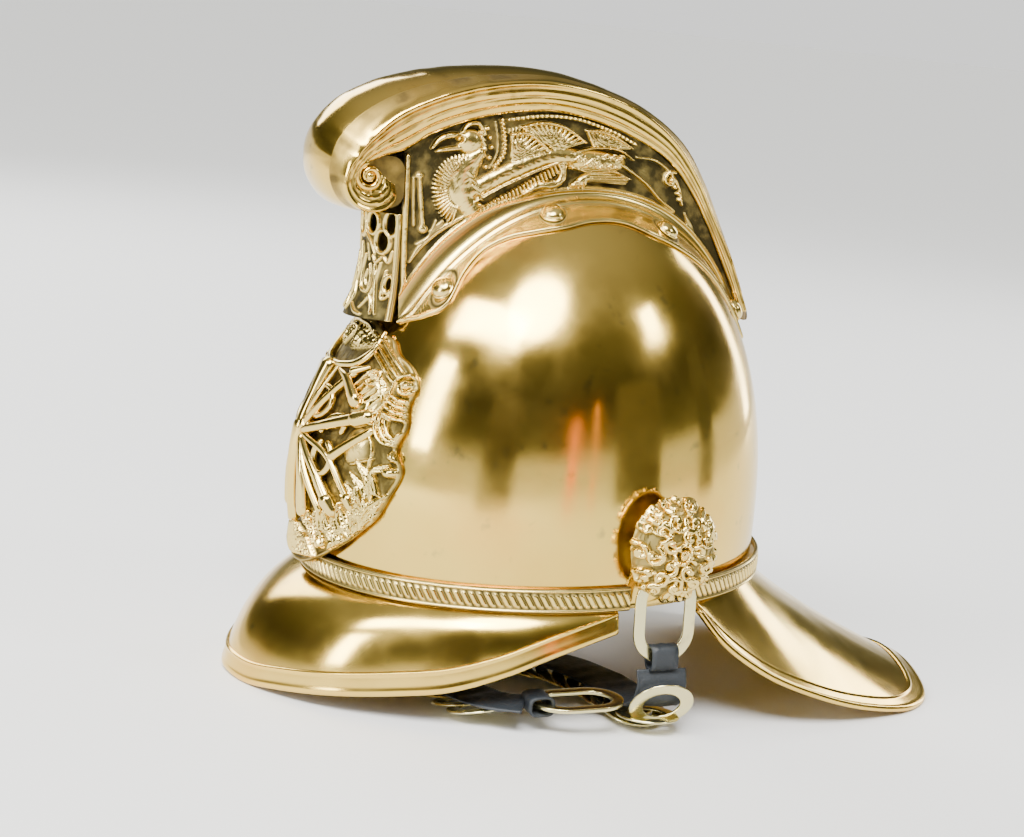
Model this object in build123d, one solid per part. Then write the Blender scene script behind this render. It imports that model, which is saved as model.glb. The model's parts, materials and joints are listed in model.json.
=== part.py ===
from build123d import *
import os
from math import cos, pi, radians, sin, sqrt

import numpy as np

# A brass parade and fire helmet: an embossed comb on a raised skull, a front peak, a neck guard,
# ear rosettes, a leather liner and a ring chin chain that is unhooked at the wearer's right.
#
# Helmet frame, mm: +Z runs up the skull, the front faces -Y and the wearer's left is +X. The
# headband's lower edge is z = 0. seated() tips the finished helmet onto the table it stands on.

# ---------------------------------------------------------------- driving dimensions
SKULL_LENGTH = 220.0          # outside, front to back at the headband
SKULL_WIDTH = 183.4           # outside, ear to ear at the headband
SKULL_HEIGHT = 181.0          # headband to crown
CROWN_POWER = 2.45            # superellipse powers of the skull's profile
SIDE_POWER = 2.1
SKULL_BULGE = 0.018           # how much the skull swells above the headband
SKULL_LEAN = 0.055            # how far the skull leans back for each mm of height
SKULL_SHEET = 1.1
SHEET = 1.0                   # peaks and comb
GAP = 0.3                     # between neighbouring sheets

SEAT_TILT = 3.28              # the helmet rests on its front peak and neck guard, nose down
SEAT_BACK = -33.68            # brings the helmet's box to y = 0 and z = 0
SEAT_RISE = 57.05

BAND_HEIGHT = 11.2            # gadrooned headband
BAND_INNER, BAND_OUTER = 1.7, 3.7
BAND_FRONT_END = 12.0         # y where the front length stops, ahead of the rosettes
BAND_REAR_START = 48.0        # y where the rear length starts
BAND_REAR_STANDOFF = 4.5      # the rear length bows away from the skull

PEAK_FLANGE = 8.0             # upright flange hidden between skull and headband
BINDING_WIDTH = 8.0           # folded edge strip of both peaks
BINDING_SHEET = 0.9
BINDING_PLAY = 0.2            # between the folded strip and the sheet inside it

COMB_SHEET = 0.9
RIVET_SEAT = 1.65                # comb rivet heads sit this far outside the skull
COMB_ROOT_RISE = 5.0          # cove between the riveted flange and the comb's upright side
COMB_ROOT_LIMIT = ((40, 80), (14.0, 6.0))   # y, and the most that the cove rises there
COMB_START, COMB_END = -78.0, 95.0
RIVET_RADIUS = 5.2            # comb rivet heads
RIVET_SHANK = 1.6

ROSETTE = (95.0 + 4.0, 31.0, 30.0)      # centre of the left rosette's back plane
ROSETTE_SIZE = (14.0, 20.5, 24.0)       # depth, half width, half height
ROSETTE_WALL = 1.6
STUD_RADIUS = 2.4

HOOK_BAR = (31.0, 12.0)       # y, z of the bar that carries the chin chain
HOOK_WIRE = 1.6
LINK_SIZE = (30.0, 44.0)      # long oval link, outside width and height
LINK_STRIP = 5.5
LINK_SHEET = 2.2
LINK_X = 96.8

RING_OUTER, RING_INNER, RING_SHEET = 15.0, 8.6, 1.3
RING_PITCH = 11.0
RING_TILT = 11.5
STRAP_WIDTH, STRAP_SHEET = 24.0, 2.0

LINER_GAP = 0.6
SWEATBAND_SHEET = 2.2
SWEATBAND_FOOT, SWEATBAND_TOP = 9.5, 42.0
TONGUE_COUNT = 8
TONGUE_SHEET = 1.8

HALF_LENGTH = SKULL_LENGTH / 2
HALF_WIDTH = SKULL_WIDTH / 2
LEFT_TO_RIGHT = Plane.YZ


# ---------------------------------------------------------------- curves and sheets
class Course:
    """A smooth curve through a few points, read at t from 0 to 1."""

    def __init__(self, points):
        self.points = np.array(points, float)
        steps = np.linalg.norm(np.diff(self.points, axis=0), axis=1)
        self.knots = np.concatenate([[0.0], np.cumsum(steps)]) / steps.sum()
        self.slopes = np.gradient(self.points, self.knots, axis=0)

    def at(self, t):
        span = int(np.clip(np.searchsorted(self.knots, t) - 1, 0, len(self.knots) - 2))
        width = self.knots[span + 1] - self.knots[span]
        u = (t - self.knots[span]) / width
        start, end = self.points[span], self.points[span + 1]
        rise, fall = self.slopes[span] * width, self.slopes[span + 1] * width
        return (
            (2 * u**3 - 3 * u**2 + 1) * start
            + (u**3 - 2 * u**2 + u) * rise
            + (3 * u**2 - 2 * u**3) * end
            + (u**3 - u**2) * fall
        )


def both_sides(half):
    """A left-hand outline from its end to the centre line, carried on to the right-hand end."""
    return half + [(-x, y, z) for x, y, z in half[-2::-1]]


def skin(rows):
    """One smooth face through rows of points."""
    return Face.make_surface_from_array_of_points([[Vector(*p) for p in row] for row in rows], tol=0.02)


def sheet(rows, depth, behind):
    """A solid sheet whose front is the face through `rows` and whose back faces the point `behind`."""
    face = skin(rows)
    middle = face.position_at(0.5, 0.5)
    backward = face.normal_at(middle).dot(Vector(*behind) - middle) > 0
    return Solid.thicken(face, depth if backward else -depth)


def section_frames(rows):
    """The rows as a grid, with the surface's unit normals and the unit direction from row to row."""
    grid = np.array(rows)
    run, across = np.gradient(grid, axis=0), np.gradient(grid, axis=1)
    up = np.cross(across, run)
    up /= np.linalg.norm(up, axis=2, keepdims=True)
    run /= np.linalg.norm(run, axis=2, keepdims=True)
    return grid, up, run


def lofted(outlines, runs):
    """A solid through outlines. The two end outlines are first flattened square to their own runs."""
    for end in (0, -1):
        run, corner = runs[end], outlines[end][0]
        outlines[end] = [point - np.dot(point - corner, run) * run for point in outlines[end]]
    sections = [[Vector(*point) for point in outline] for outline in outlines]
    return Solid.make_loft([Wire.make_polygon(section, close=True) for section in sections])


def lofted_sheet(rows, below, above):
    """A sheet from `below` to `above` the surface through rows of points."""
    grid, up, run = section_frames(rows)
    outlines = [[*(p + u * above), *(p - u * below)[::-1]] for p, u in zip(grid, up)]
    return lofted(outlines, run[:, 0])


def rod(start, end, radius):
    """A round bar between two points."""
    start, end = Vector(*start), Vector(*end)
    return Plane(origin=start, z_dir=end - start) * extrude(Circle(radius), (end - start).length)


def mirrored(shape):
    return mirror(shape, about=LEFT_TO_RIGHT)


# ---------------------------------------------------------------- the skull's form
def skull_share(z):
    """Horizontal size of the skull at a height, as a share of its size at the headband."""
    rise = min(max(z / SKULL_HEIGHT, 0.0), 1.0)
    return (1 - rise**CROWN_POWER) ** (1 / SIDE_POWER) * (1 + SKULL_BULGE * sin(pi * rise))


def skull_level(x, y, z):
    """Below zero inside the skull's outer face, above zero outside it."""
    return (x / HALF_WIDTH) ** 2 + ((y - SKULL_LEAN * z) / HALF_LENGTH) ** 2 - skull_share(z) ** 2


def skull_normal(point):
    """Outward direction of the skull near a point."""
    step = 0.2
    slope = [
        skull_level(*(point + side)) - skull_level(*(point - side))
        for side in np.eye(3) * step
    ]
    return np.array(slope) / np.linalg.norm(slope)


def skull_above(x, y):
    """Point of the skull straight above (x, y)."""
    low, high = 0.0, SKULL_HEIGHT
    for _ in range(40):
        middle = (low + high) / 2
        low, high = (middle, high) if skull_level(x, y, middle) < 0 else (low, middle)
    return np.array([x, y, low])


def skull_front(x, z):
    """Point of the skull's front at (x, z)."""
    depth = sqrt(max(skull_share(z) ** 2 - (x / HALF_WIDTH) ** 2, 0.0))
    return np.array([x, SKULL_LEAN * z - HALF_LENGTH * depth, z])


def skull_at(turn, z, off=0.0):
    """Point on the skull at an angle about +Z from +X, standing `off` outside it."""
    share = skull_share(z)
    x = (HALF_WIDTH * share + off) * cos(turn)
    y = SKULL_LEAN * z + (HALF_LENGTH * share + off) * sin(turn)
    return np.array([x, y, z])


def lifted(point, height):
    """A point on the skull moved out along the skull's normal."""
    return point + skull_normal(point) * height


def skull_shaped(round_solid):
    """Squeezes and leans a solid turned about +Z, so that it follows the skull."""
    squeeze = Matrix(
        [[SKULL_WIDTH / SKULL_LENGTH, 0, 0, 0], [0, 1, SKULL_LEAN, 0], [0, 0, 1, 0]]
    )
    return round_solid.solids()[0].transform_geometry(squeeze)


def profile_points(inset, count=26):
    """Radius and height along the skull's profile, set in by `inset`."""
    turns = [pi / 2 * i / count for i in range(count + 1)]
    shrink = (SKULL_HEIGHT - inset) / SKULL_HEIGHT
    return [
        Vector((HALF_LENGTH - inset) * skull_share(SKULL_HEIGHT * sin(t)), 0, SKULL_HEIGHT * shrink * sin(t))
        for t in turns
    ]


def skull_core(inset):
    """The solid block inside the skull's face, set in by `inset`."""
    points = profile_points(inset)
    outline = [
        Edge.make_spline(points),
        Edge.make_line(points[-1], Vector(0, 0, 0)),
        Edge.make_line(Vector(0, 0, 0), points[0]),
    ]
    return skull_shaped(revolve(Face(Wire(outline)), Axis.Z, 360))


def band_ring(inner, outer, foot, top):
    """A ring round the skull's foot between two offsets from the skull."""
    low, high = HALF_LENGTH + inner, HALF_LENGTH + outer
    return skull_shaped(
        extrude(Plane.XY.offset(foot) * (Circle(high) - Circle(low)), top - foot)
    )


def slab(low, high):
    """A block between two corners."""
    size = [b - a for a, b in zip(low, high)]
    middle = [(a + b) / 2 for a, b in zip(low, high)]
    return Pos(*middle) * Box(*size)


# ---------------------------------------------------------------- fasteners
COMB_RIVETS = [(33.0, -61.0), (30.5, -9.0), (28.5, 49.0), (17.5, 91.5)]   # x, y on the left
BADGE_STUDS = [(-38.0, 64.0), (38.0, 64.0), (-22.0, 88.0), (22.0, 88.0)]  # x, z
FRONT_PEAK_RIVETS = [-150.0, -120.0, -90.0, -60.0, -30.0]                  # degrees about +Z
NECK_GUARD_RIVETS = [50.0, 76.0, 104.0, 130.0]
VENTS = [(0.0, -18.0), (0.0, 14.0), (0.0, 46.0)]                          # crown vents under the comb
VENT_RADIUS = 7.0


def comb_rivet_places():
    """Foot and outward direction of each comb rivet on the skull's outer face."""
    left = [skull_above(x, y) for x, y in COMB_RIVETS]
    both = left + [p * (-1, 1, 1) for p in left]
    return [(p, skull_normal(p)) for p in both]


def along(place, low, high, radius):
    """A round bar along a fastener's axis, from `low` to `high` outside the skull."""
    foot, out = place
    return rod(foot + out * low, foot + out * high, radius)


def domed_head(place, height, radius):
    """A low domed rivet head that sits `height` outside the skull."""
    foot, out = place
    dome = Plane(origin=Vector(*(foot + out * height)), z_dir=Vector(*out))
    ball_radius = radius * 1.12
    sunk = sqrt(ball_radius**2 - radius**2)
    ball = Pos(0, 0, -sunk) * Sphere(ball_radius)
    return dome * (ball & Pos(0, 0, radius) * Box(4 * radius, 4 * radius, 2 * radius))


def badge_stud_places():
    """Each badge stud runs straight back through the skull's front."""
    return [(skull_front(x, z), np.array([0.0, -1.0, 0.0])) for x, z in BADGE_STUDS]


def peak_rivet_places(turns):
    """Rivets through the skull's foot and a peak's flange."""
    places = []
    for turn in turns:
        foot = skull_at(radians(turn), 4.6)
        out = skull_normal(foot) * (1, 1, 0)
        places.append((foot, out / np.linalg.norm(out)))
    return places


# ---------------------------------------------------------------- skull, headband
def make_skull():
    shell = skull_core(0.0) - skull_core(SKULL_SHEET)
    for place in comb_rivet_places():
        shell -= along(place, -6, 6, RIVET_SHANK)
    for place in badge_stud_places():
        shell -= along(place, -8, 4, RIVET_SHANK)
    for place in peak_rivet_places(FRONT_PEAK_RIVETS + NECK_GUARD_RIVETS):
        shell -= along(place, -6, 6, RIVET_SHANK)
    for x, y in VENTS:
        top = skull_above(x, y)
        shell -= rod(top - (0, 0, 12), top + (0, 0, 12), VENT_RADIUS)
    for side in (-1, 1):
        shell -= rod((side * 70, *ROSETTE[1:]), (side * 110, *ROSETTE[1:]), STUD_RADIUS)
    return shell


def make_headband_front():
    ring = band_ring(BAND_INNER, BAND_OUTER, 0.0, BAND_HEIGHT)
    return ring & slab((-150, -150, -5), (150, BAND_FRONT_END, 30))


def make_headband_rear():
    """The rear length starts against the skull and bows away from it behind."""
    inner, outer = Ellipse(HALF_WIDTH + BAND_INNER, HALF_LENGTH + BAND_REAR_STANDOFF), Ellipse(
        HALF_WIDTH + BAND_OUTER, HALF_LENGTH + BAND_REAR_STANDOFF + BAND_OUTER - BAND_INNER
    )
    ring = extrude(outer - inner, BAND_HEIGHT)
    return ring & slab((-150, BAND_REAR_START, -5), (150, 160, 30))


# ---------------------------------------------------------------- peaks
# Left half of each peak's edge, from the ear to the centre line.
FRONT_EDGE = [
    (97, 8, -9), (98.5, -22, -18), (95, -47, -28), (88, -69, -35), (78, -90, -38.5),
    (62, -115, -42), (42, -133, -45), (20, -145, -47.5), (0, -149, -47),
]
REAR_EDGE = [
    (92, 50, -2), (95, 62, -17), (95, 84, -33.5), (92, 118, -49), (82, 152, -60),
    (68, 182, -66), (50, 199, -67), (28, 207, -64), (0, 210, -61),
]
FRONT_ROOT = (5.0, -90.0)     # degrees about +Z of the root, at the ear and the centre line
REAR_ROOT = (27.0, 90.0)
FRONT_SWELL = (0.80, 0.22)    # how far the sheet has gone out, and down, at its control point
REAR_SWELL = (0.30, 0.45)


def peak_point(edge, root, swell, along_edge, down):
    """Point of a peak: along_edge runs ear to ear, down runs from the root (0) to the edge (1)."""
    half = abs(1 - 2 * along_edge)
    turn = radians(root[1] + (root[0] - root[1]) * half)
    start = skull_at(turn, 0.0, 0.85)
    start[2] = -0.6
    if along_edge > 0.5:
        start[0] = -start[0]
    end = edge.at(along_edge)
    control = start + (end - start) * (swell[0], swell[0], swell[1])
    return (1 - down) ** 2 * start + 2 * down * (1 - down) * control + down**2 * end


def peak_rows(half_edge, root, swell, zone=None):
    """Rows of points over a peak, or over the strip `zone` mm wide at its edge."""
    edge = Course(both_sides(half_edge))
    rows = []
    for along_edge in np.linspace(0, 1, 31):
        corner = peak_point(edge, root, swell, along_edge, 0)
        depth = np.linalg.norm(peak_point(edge, root, swell, along_edge, 1) - corner)
        first, last = (0, 1) if zone is None else (1 - min(zone / depth, 0.9), 1 + BINDING_PLAY / depth)
        steps = np.linspace(first, last, 7 if zone is None else 4)
        rows.append([peak_point(edge, root, swell, along_edge, down) for down in steps])
    return rows


def flange_sector(keep):
    """The part of the flange ring inside the block `keep`."""
    return band_ring(GAP, GAP + SHEET, -1.2, PEAK_FLANGE) & keep


def make_peak(half_edge, root, swell, keep, rivets):
    visor = lofted_sheet(peak_rows(half_edge, root, swell), SHEET / 2, SHEET / 2)
    peak = visor + flange_sector(keep)
    for place in peak_rivet_places(rivets):
        peak -= along(place, -6, 6, RIVET_SHANK)
    return peak


def make_binding(half_edge, root, swell):
    """A strip folded over the peak's edge, as a loft of C-shaped outlines."""
    near = SHEET / 2 + BINDING_PLAY
    far = near + BINDING_SHEET
    grid, ups, runs = section_frames(peak_rows(half_edge, root, swell, BINDING_WIDTH))
    outlines = []
    for points, up in zip(grid, ups):
        out = (points[-1] - points[-2]) / np.linalg.norm(points[-1] - points[-2])
        nose = points[-1] + out * BINDING_SHEET
        outside = [*(points + up * far)[:-1], nose + up[-1] * near, nose - up[-1] * near]
        outside += [*(points - up * far)[-2::-1]]
        outlines.append([*outside, *(points - up * near), *(points + up * near)[::-1]])
    return lofted(outlines, runs[:, -1])


# ---------------------------------------------------------------- comb
# Half widths across the comb at a few places along it: (y, riveted flange, upright side).
COMB_WIDTHS = Course([
    (-78, 24.5, 21.8), (-70, 33, 22), (-61, 39.5, 22), (-51, 34, 21.8), (-40, 32.5, 21.5),
    (-24, 36, 21), (-8, 39, 20.3), (8, 37.5, 19.2), (22, 35.5, 18.2), (38, 37.5, 17),
    (54, 35.5, 15.4), (74, 29, 12.8), (84, 26, 11.8), (95, 23, 11),
])
# Top of the embossed sides, under the cap: (y, z).
SIDE_TOP = Course([
    (-79.7, 198), (-66.5, 207), (-46, 214.2), (-25, 217.9), (-3, 218), (19.7, 212.2),
    (43, 203), (59.4, 191), (74.9, 169.9), (86.5, 147.3), (95.5, 129),
])
# The cap at matching stations from its front lip to its tail: the middle of its back (y, z), the
# outer bead (x, y, z), and the lower edge of its side moulding (x, y, z), which winds into the
# eye of the scroll at the front.
CAP_STATIONS = [
    ((-90, 171.6), (26.6, -88, 174), (26.4, -93.6, 185)),
    ((-99, 170.8), (28, -95, 172.5), (26.6, -95.6, 183.8)),
    ((-109, 174.2), (29.5, -104.5, 176.5), (27, -99, 184.8)),
    ((-116.6, 184), (30, -108.5, 184.5), (27, -100.6, 187.8)),
    ((-119, 195), (30, -106.8, 191.5), (27, -99.8, 191)),
    ((-116, 207.7), (30, -102.4, 198.5), (27, -96.5, 194.3)),
    ((-108, 217.8), (30, -96, 206), (26, -90, 197)),
    ((-93, 227), (30, -86.5, 214.5), (24.6, -80.5, 199.6)),
    ((-75.6, 232.8), (29.5, -69.5, 222.8), (23.8, -66.5, 207.4)),
    ((-56.7, 236.2), (29, -53, 228), (23.3, -51, 213)),
    ((-37.5, 237.8), (28, -36, 231), (22.9, -34, 217)),
    ((-8, 237), (26, -10, 231.7), (21.6, -9, 218.7)),
    ((19.2, 230.7), (23, 15, 227.4), (19.9, 13, 214.9)),
    ((41.2, 222.2), (20.5, 34, 220.5), (18.5, 32, 208.2)),
    ((66.4, 204.2), (17.8, 57, 204.5), (16.3, 54, 196.3)),
    ((78.9, 185.5), (16, 70, 188), (14.6, 67, 181.8)),
    ((88, 166.4), (14.8, 79.5, 171), (13.5, 76, 168)),
    ((96.7, 147), (13.6, 90, 153), (12.9, 85.5, 150)),
    ((103.8, 127.3), (12.8, 98.3, 134), (12.4, 94, 132.6)),
    ((107, 118), (12.4, 102, 124.5), (12.2, 97.8, 123.5)),
]
CAP_CROWN_POWER = 2.3


def comb_widths(y):
    """Half widths of the comb's flange and upright side at a place along it."""
    share = np.interp(y, COMB_WIDTHS.points[:, 0], COMB_WIDTHS.knots)
    return COMB_WIDTHS.at(share)[1:]


def side_top(y):
    share = np.interp(y, SIDE_TOP.points[:, 0], SIDE_TOP.knots)
    return SIDE_TOP.at(share)[1]


def comb_side_row(y):
    """Points across the left side at one place: out on the flange, up the cove, up the side."""
    flange, upright = comb_widths(y)
    flange = max(flange, upright + 5.0)
    knee = upright + min(5.0, 0.6 * (flange - upright))
    row = []
    for share in (0.0, 0.35, 0.7, 1.0):
        x = flange + (knee - flange) * share
        row.append(lifted(skull_above(x, y), GAP + COMB_SHEET))
    foot = skull_above(upright, y)
    steepest = np.interp(y, *COMB_ROOT_LIMIT)
    root = foot[2] + min(COMB_ROOT_RISE / skull_normal(foot)[2], steepest)
    top = max(side_top(y) - 0.6, root + 2.0)
    row.append(np.array([upright + min(1.4, 0.4 * (knee - upright)), y, root - 0.9]))
    for share in (0.12, 0.5, 1.0):
        row.append(np.array([upright, y, root + (top - root) * share]))
    return row


def make_comb_side():
    rows = [comb_side_row(y) for y in np.linspace(COMB_START, COMB_END, 29)]
    inward = []
    for row in rows:
        run = np.gradient(np.array(row), axis=0)
        normal = np.cross(run, (0, 1, 0))
        inward.append(normal / np.linalg.norm(normal, axis=1, keepdims=True))
    outlines = [[*row, *(np.array(row) - n * COMB_SHEET)[::-1]] for row, n in zip(rows, inward)]
    side = lofted(outlines, [np.array([0.0, 1.0, 0.0])] * len(rows))
    for place in comb_rivet_places():
        side -= along(place, -6, 9, RIVET_SHANK)
        side -= along(place, RIVET_SEAT, RIVET_SEAT + 3.4, RIVET_RADIUS + 0.1)
    return side.solids().sort_by(SortBy.VOLUME)[-1]


def cap_section(back, bead, lower):
    """The cap's skin at one station as a flat closed outline: over the outside, back along the inside."""
    back, low = np.array([0.0, *back]), np.array([0.0, *lower[1:]])
    depth = np.linalg.norm(low - back)
    down = (low - back) / depth
    bead_depth = np.dot(np.array([0.0, *bead[1:]]) - back, down)
    outside = [
        (0.5 * bead[0], bead_depth * 0.5**CAP_CROWN_POWER),
        (0.85 * bead[0], bead_depth * 0.85**CAP_CROWN_POWER),
        (bead[0], bead_depth),
        (lower[0], depth),
    ]
    inside = [
        (0.5 * bead[0], outside[0][1] + COMB_SHEET * 1.1),
        (0.85 * bead[0] - COMB_SHEET * 0.8, outside[1][1] + COMB_SHEET),
        (bead[0] - COMB_SHEET * 1.1, bead_depth + COMB_SHEET * 0.5),
        (lower[0] - COMB_SHEET, depth),
    ]
    left = [(0, 0), *outside, *inside[::-1], (0, COMB_SHEET)]
    right = [(-across, deep) for across, deep in left[-2:0:-1]]
    return [Vector(across, *(back + down * deep)[1:]) for across, deep in left + right]


def make_comb_cap():
    sections = [cap_section(*station) for station in CAP_STATIONS]
    outlines = [Wire.make_polygon(section, close=True) for section in sections]
    return Solid.make_loft(outlines, ruled=True)


SCROLL_EYE = (26.6, -96.6, 188.0)
SCROLL_BACKING_Y = (-100.0, -79.2)
SCROLL_BACKING_Z = (173.6, 197.0)
SCROLL_BACKING_HALF_WIDTH = 24.0


def make_scroll_backing():
    """A folded sheet behind the scroll that closes the front of the comb, open towards the scroll."""
    (low_y, high_y), (low_z, high_z) = SCROLL_BACKING_Y, SCROLL_BACKING_Z
    middle = (0, (low_y + high_y) / 2, (low_z + high_z) / 2)
    size = (2 * SCROLL_BACKING_HALF_WIDTH, high_y - low_y, high_z - low_z)
    outside = Pos(*middle) * Box(*size)
    outside = fillet(outside.edges().filter_by(Axis.X), 7)
    inside = Pos(0, -SHEET, 0) * Pos(*middle) * Box(*(v - 2 * SHEET * s for v, s in zip(size, (1, 0, 1))))
    return outside - inside


def make_scroll_bosses():
    x, y, z = SCROLL_EYE
    boss = rod((SCROLL_BACKING_HALF_WIDTH + 0.05, y, z), (x, y, z), 2.6)
    boss += Pos(x, y, z) * Rot(0, 90, 0) * (Sphere(2.6) & Pos(0, 0, 2) * Box(8, 8, 4))
    return boss + mirrored(boss)


FRET_FOOT, FRET_HEAD = 121.5, 170.4
FRET_EDGE = Course([(-82.4, 121.5), (-80.6, 135), (-79.6, 149), (-79.0, 170.4)])      # y, z
FRET_MIDDLE = Course([(-98.5, 121.5), (-92.6, 136), (-90.4, 149), (-90.0, 170.4)])
FRET_HALF_WIDTH = Course([(24.4, 121.5), (22.6, 149), (21.9, 170.4)])                # x, z
FRET_HOLES = [
    (-7.5, 164, 3.2), (7.5, 164, 3.2), (0, 156, 3.6),
    (-9, 147, 2.4), (9, 147, 2.4), (-5, 137, 2.2), (5, 137, 2.2), (-14, 133, 2.2), (14, 133, 2.2),
]


def course_at_height(course, z):
    return course.at(np.interp(z, course.points[:, 1], course.knots))[0]


def make_fret():
    rows = []
    for z in np.linspace(FRET_FOOT, FRET_HEAD, 13):
        edge, middle = course_at_height(FRET_EDGE, z), course_at_height(FRET_MIDDLE, z)
        half = course_at_height(FRET_HALF_WIDTH, z)
        rows.append([(half * s, middle + (edge - middle) * s * s, z) for s in np.linspace(-1, 1, 11)])
    fret = sheet(rows, COMB_SHEET, behind=(0, 0, 146))
    for x, z, radius in FRET_HOLES:
        fret -= rod((x, -110, z), (x, -70, z), radius)
    return fret


def make_comb_rivets():
    rivets = []
    for place in comb_rivet_places():
        shank = along(place, -SKULL_SHEET - 2.4, RIVET_SEAT + 1.0, RIVET_SHANK - 0.02)
        rivets.append(shank + domed_head(place, RIVET_SEAT + 0.02, RIVET_RADIUS))
    return Compound(children=[r.solids()[0] for r in rivets])


def make_comb_washers():
    washers = []
    for place in comb_rivet_places():
        start = -SKULL_SHEET - 0.6
        washers.append(along(place, start - 1.0, start, 4.2) - along(place, start - 2, start + 1, RIVET_SHANK))
    return Compound(children=[w.solids()[0] for w in washers])


# ---------------------------------------------------------------- badge
# Right-hand half of the badge's scrolled outline, top to bottom: (x, z).
BADGE_HALF = [
    (0, 119.4), (11, 119), (20, 115.5), (28, 114), (34, 109), (43, 104), (49.5, 96), (50, 87),
    (52.5, 78), (51.5, 68), (55.5, 58), (53, 46), (49, 35), (42, 26.5), (33, 18), (22, 10.5),
    (10, 5.5), (0, 4.6),
]
BADGE_MIDDLE_Z = 60.0
BADGE_REACH = (60.0, 64.0)
BADGE_RISE = 7.0
BADGE_FOOT_RISE = 4.9         # clears the headband at the badge's foot
EMBLEM_MIDDLE = (0.0, 66.0)
EMBLEM_RELIEF = 3.0


def badge_rise(x, z):
    """How far the badge's back stands off the skull."""
    reach = (x / BADGE_REACH[0]) ** 2 + ((z - BADGE_MIDDLE_Z) / BADGE_REACH[1]) ** 2
    swell = max(1 - reach, 0.0)
    foot = max(1 - max(z, 0.0) / 24.0, 0.0) * BADGE_FOOT_RISE
    return 0.6 + BADGE_RISE * swell + foot


def badge_point(x, z, proud=0.0):
    """Point of the badge's front face, `proud` mm in front of it."""
    foot = skull_front(x, max(z, 0.0))
    foot[2] = z
    point = foot + skull_normal(foot) * (badge_rise(x, z) + SHEET + proud)
    return np.array([x, point[1], z])


def badge_outline():
    """The badge's scrolled outline as a smooth closed face in the XZ plane."""
    right = [Vector(x, 0, z) for x, z in BADGE_HALF]
    left = [Vector(-x, 0, z) for x, z in BADGE_HALF]
    return Face(Wire([Edge.make_spline(right), Edge.make_spline(left)]))


def badge_rows():
    """A grid of points on the badge's front, a little larger than its outline."""
    across, upward = np.linspace(-59, 59, 17), np.linspace(0, 122, 17)
    return [[badge_point(x, z) for x in across] for z in upward]


def make_badge():
    plate = sheet(badge_rows(), SHEET, behind=(0, 0, 60))
    cutter = extrude(badge_outline(), amount=200, dir=(0, -1, 0))
    return (plate & cutter).solids()[0]


def raised(rows, height):
    """The same grid of points, moved forward along the surface's normals."""
    grid = np.array(rows)
    normals = np.cross(np.gradient(grid, axis=0), np.gradient(grid, axis=1))
    normals *= -np.sign(normals[:, :, 1:2]) / np.linalg.norm(normals, axis=2, keepdims=True)
    return grid + normals * height


def emblem_bar(start, end, width):
    """A straight bar seen from the front, between two (x, z) points, as deep as the whole badge."""
    (x0, z0), (x1, z1) = start, end
    run = Vector(x1 - x0, 0, z1 - z0)
    flat = Plane(origin=((x0 + x1) / 2, -115, (z0 + z1) / 2), x_dir=run, z_dir=(0, 1, 0))
    return flat * Box(run.length, width, 110)


def make_emblem():
    """Two crossed fire axes over an upright branch pipe."""
    x, z = EMBLEM_MIDDLE
    outline = emblem_bar((x, z - 40), (x, z + 34), 7.5)
    for side in (-1, 1):
        outline += emblem_bar((x - side * 27, z - 30), (x + side * 25, z + 30), 4.6)
        outline += emblem_bar((x + side * 11, z + 25), (x + side * 27, z + 12), 9.0)
        outline += emblem_bar((x + side * 19, z + 32), (x + side * 29, z + 25), 3.6)
    rows = raised(badge_rows(), EMBLEM_RELIEF + GAP)
    return (sheet(rows, EMBLEM_RELIEF, behind=(0, 0, 60)) & outline).solids()[0]


def make_badge_studs():
    studs = []
    for (x, z), place in zip(BADGE_STUDS, badge_stud_places()):
        back = -(badge_point(x, z)[1] + SHEET * 2.6) + place[0][1]
        studs.append(along(place, -7.0, back, RIVET_SHANK - 0.02).solids()[0])
    return Compound(children=studs)


def make_badge_nuts():
    nuts = []
    for foot, out in badge_stud_places():
        flat = Plane(origin=Vector(*(foot - out * 6.2)), z_dir=Vector(*out))
        nut = flat * extrude(RegularPolygon(4.0, 6) - Circle(RIVET_SHANK), 2.4)
        nuts.append(nut.solids()[0])
    return Compound(children=nuts)


# ---------------------------------------------------------------- ear rosettes and hooks
def make_rosette():
    """A hollow oval boss with a post behind it for its stud."""
    depth, half_width, half_height = ROSETTE_SIZE
    outer = scale(Sphere(1.0), by=(depth, half_width, half_height))
    inner = scale(
        Sphere(1.0), by=(depth - ROSETTE_WALL, half_width - ROSETTE_WALL, half_height - ROSETTE_WALL)
    )
    front_half = Pos(50, 0, 0) * Box(100, 100, 100)
    dome = (outer - inner) & front_half
    post = rod((-4.6, 0, 0), (depth - 1.0, 0, 0), 4.2) - rod((-6, 0, 0), (depth - 4.0, 0, 0), STUD_RADIUS)
    return Pos(*ROSETTE) * (dome + post)


HOOK_PLATE = (92.6, 94.2)     # x range of the hook's plate, between spacer and rosette post


def make_rosette_spacer():
    _, y, z = ROSETTE
    tube = rod((84, y, z), (HOOK_PLATE[0] - 0.05, y, z), 6.0) - rod((80, y, z), (110, y, z), STUD_RADIUS)
    return (tube - skull_core(-0.1)).solids()[0]


def make_rosette_stud():
    x, y, z = ROSETTE
    return rod((x - 17.5, y, z), (x + ROSETTE_SIZE[0] - 4.2, y, z), STUD_RADIUS - 0.05)


def make_rosette_washer():
    _, y, z = ROSETTE
    return rod((84.6, y, z), (85.8, y, z), 6.5) - rod((80, y, z), (90, y, z), STUD_RADIUS)


def make_rosette_nut():
    _, y, z = ROSETTE
    flat = Plane(origin=Vector(82.0, y, z), z_dir=Vector(1, 0, 0))
    return flat * extrude(RegularPolygon(5.2, 6) - Circle(STUD_RADIUS), 2.5)


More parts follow.
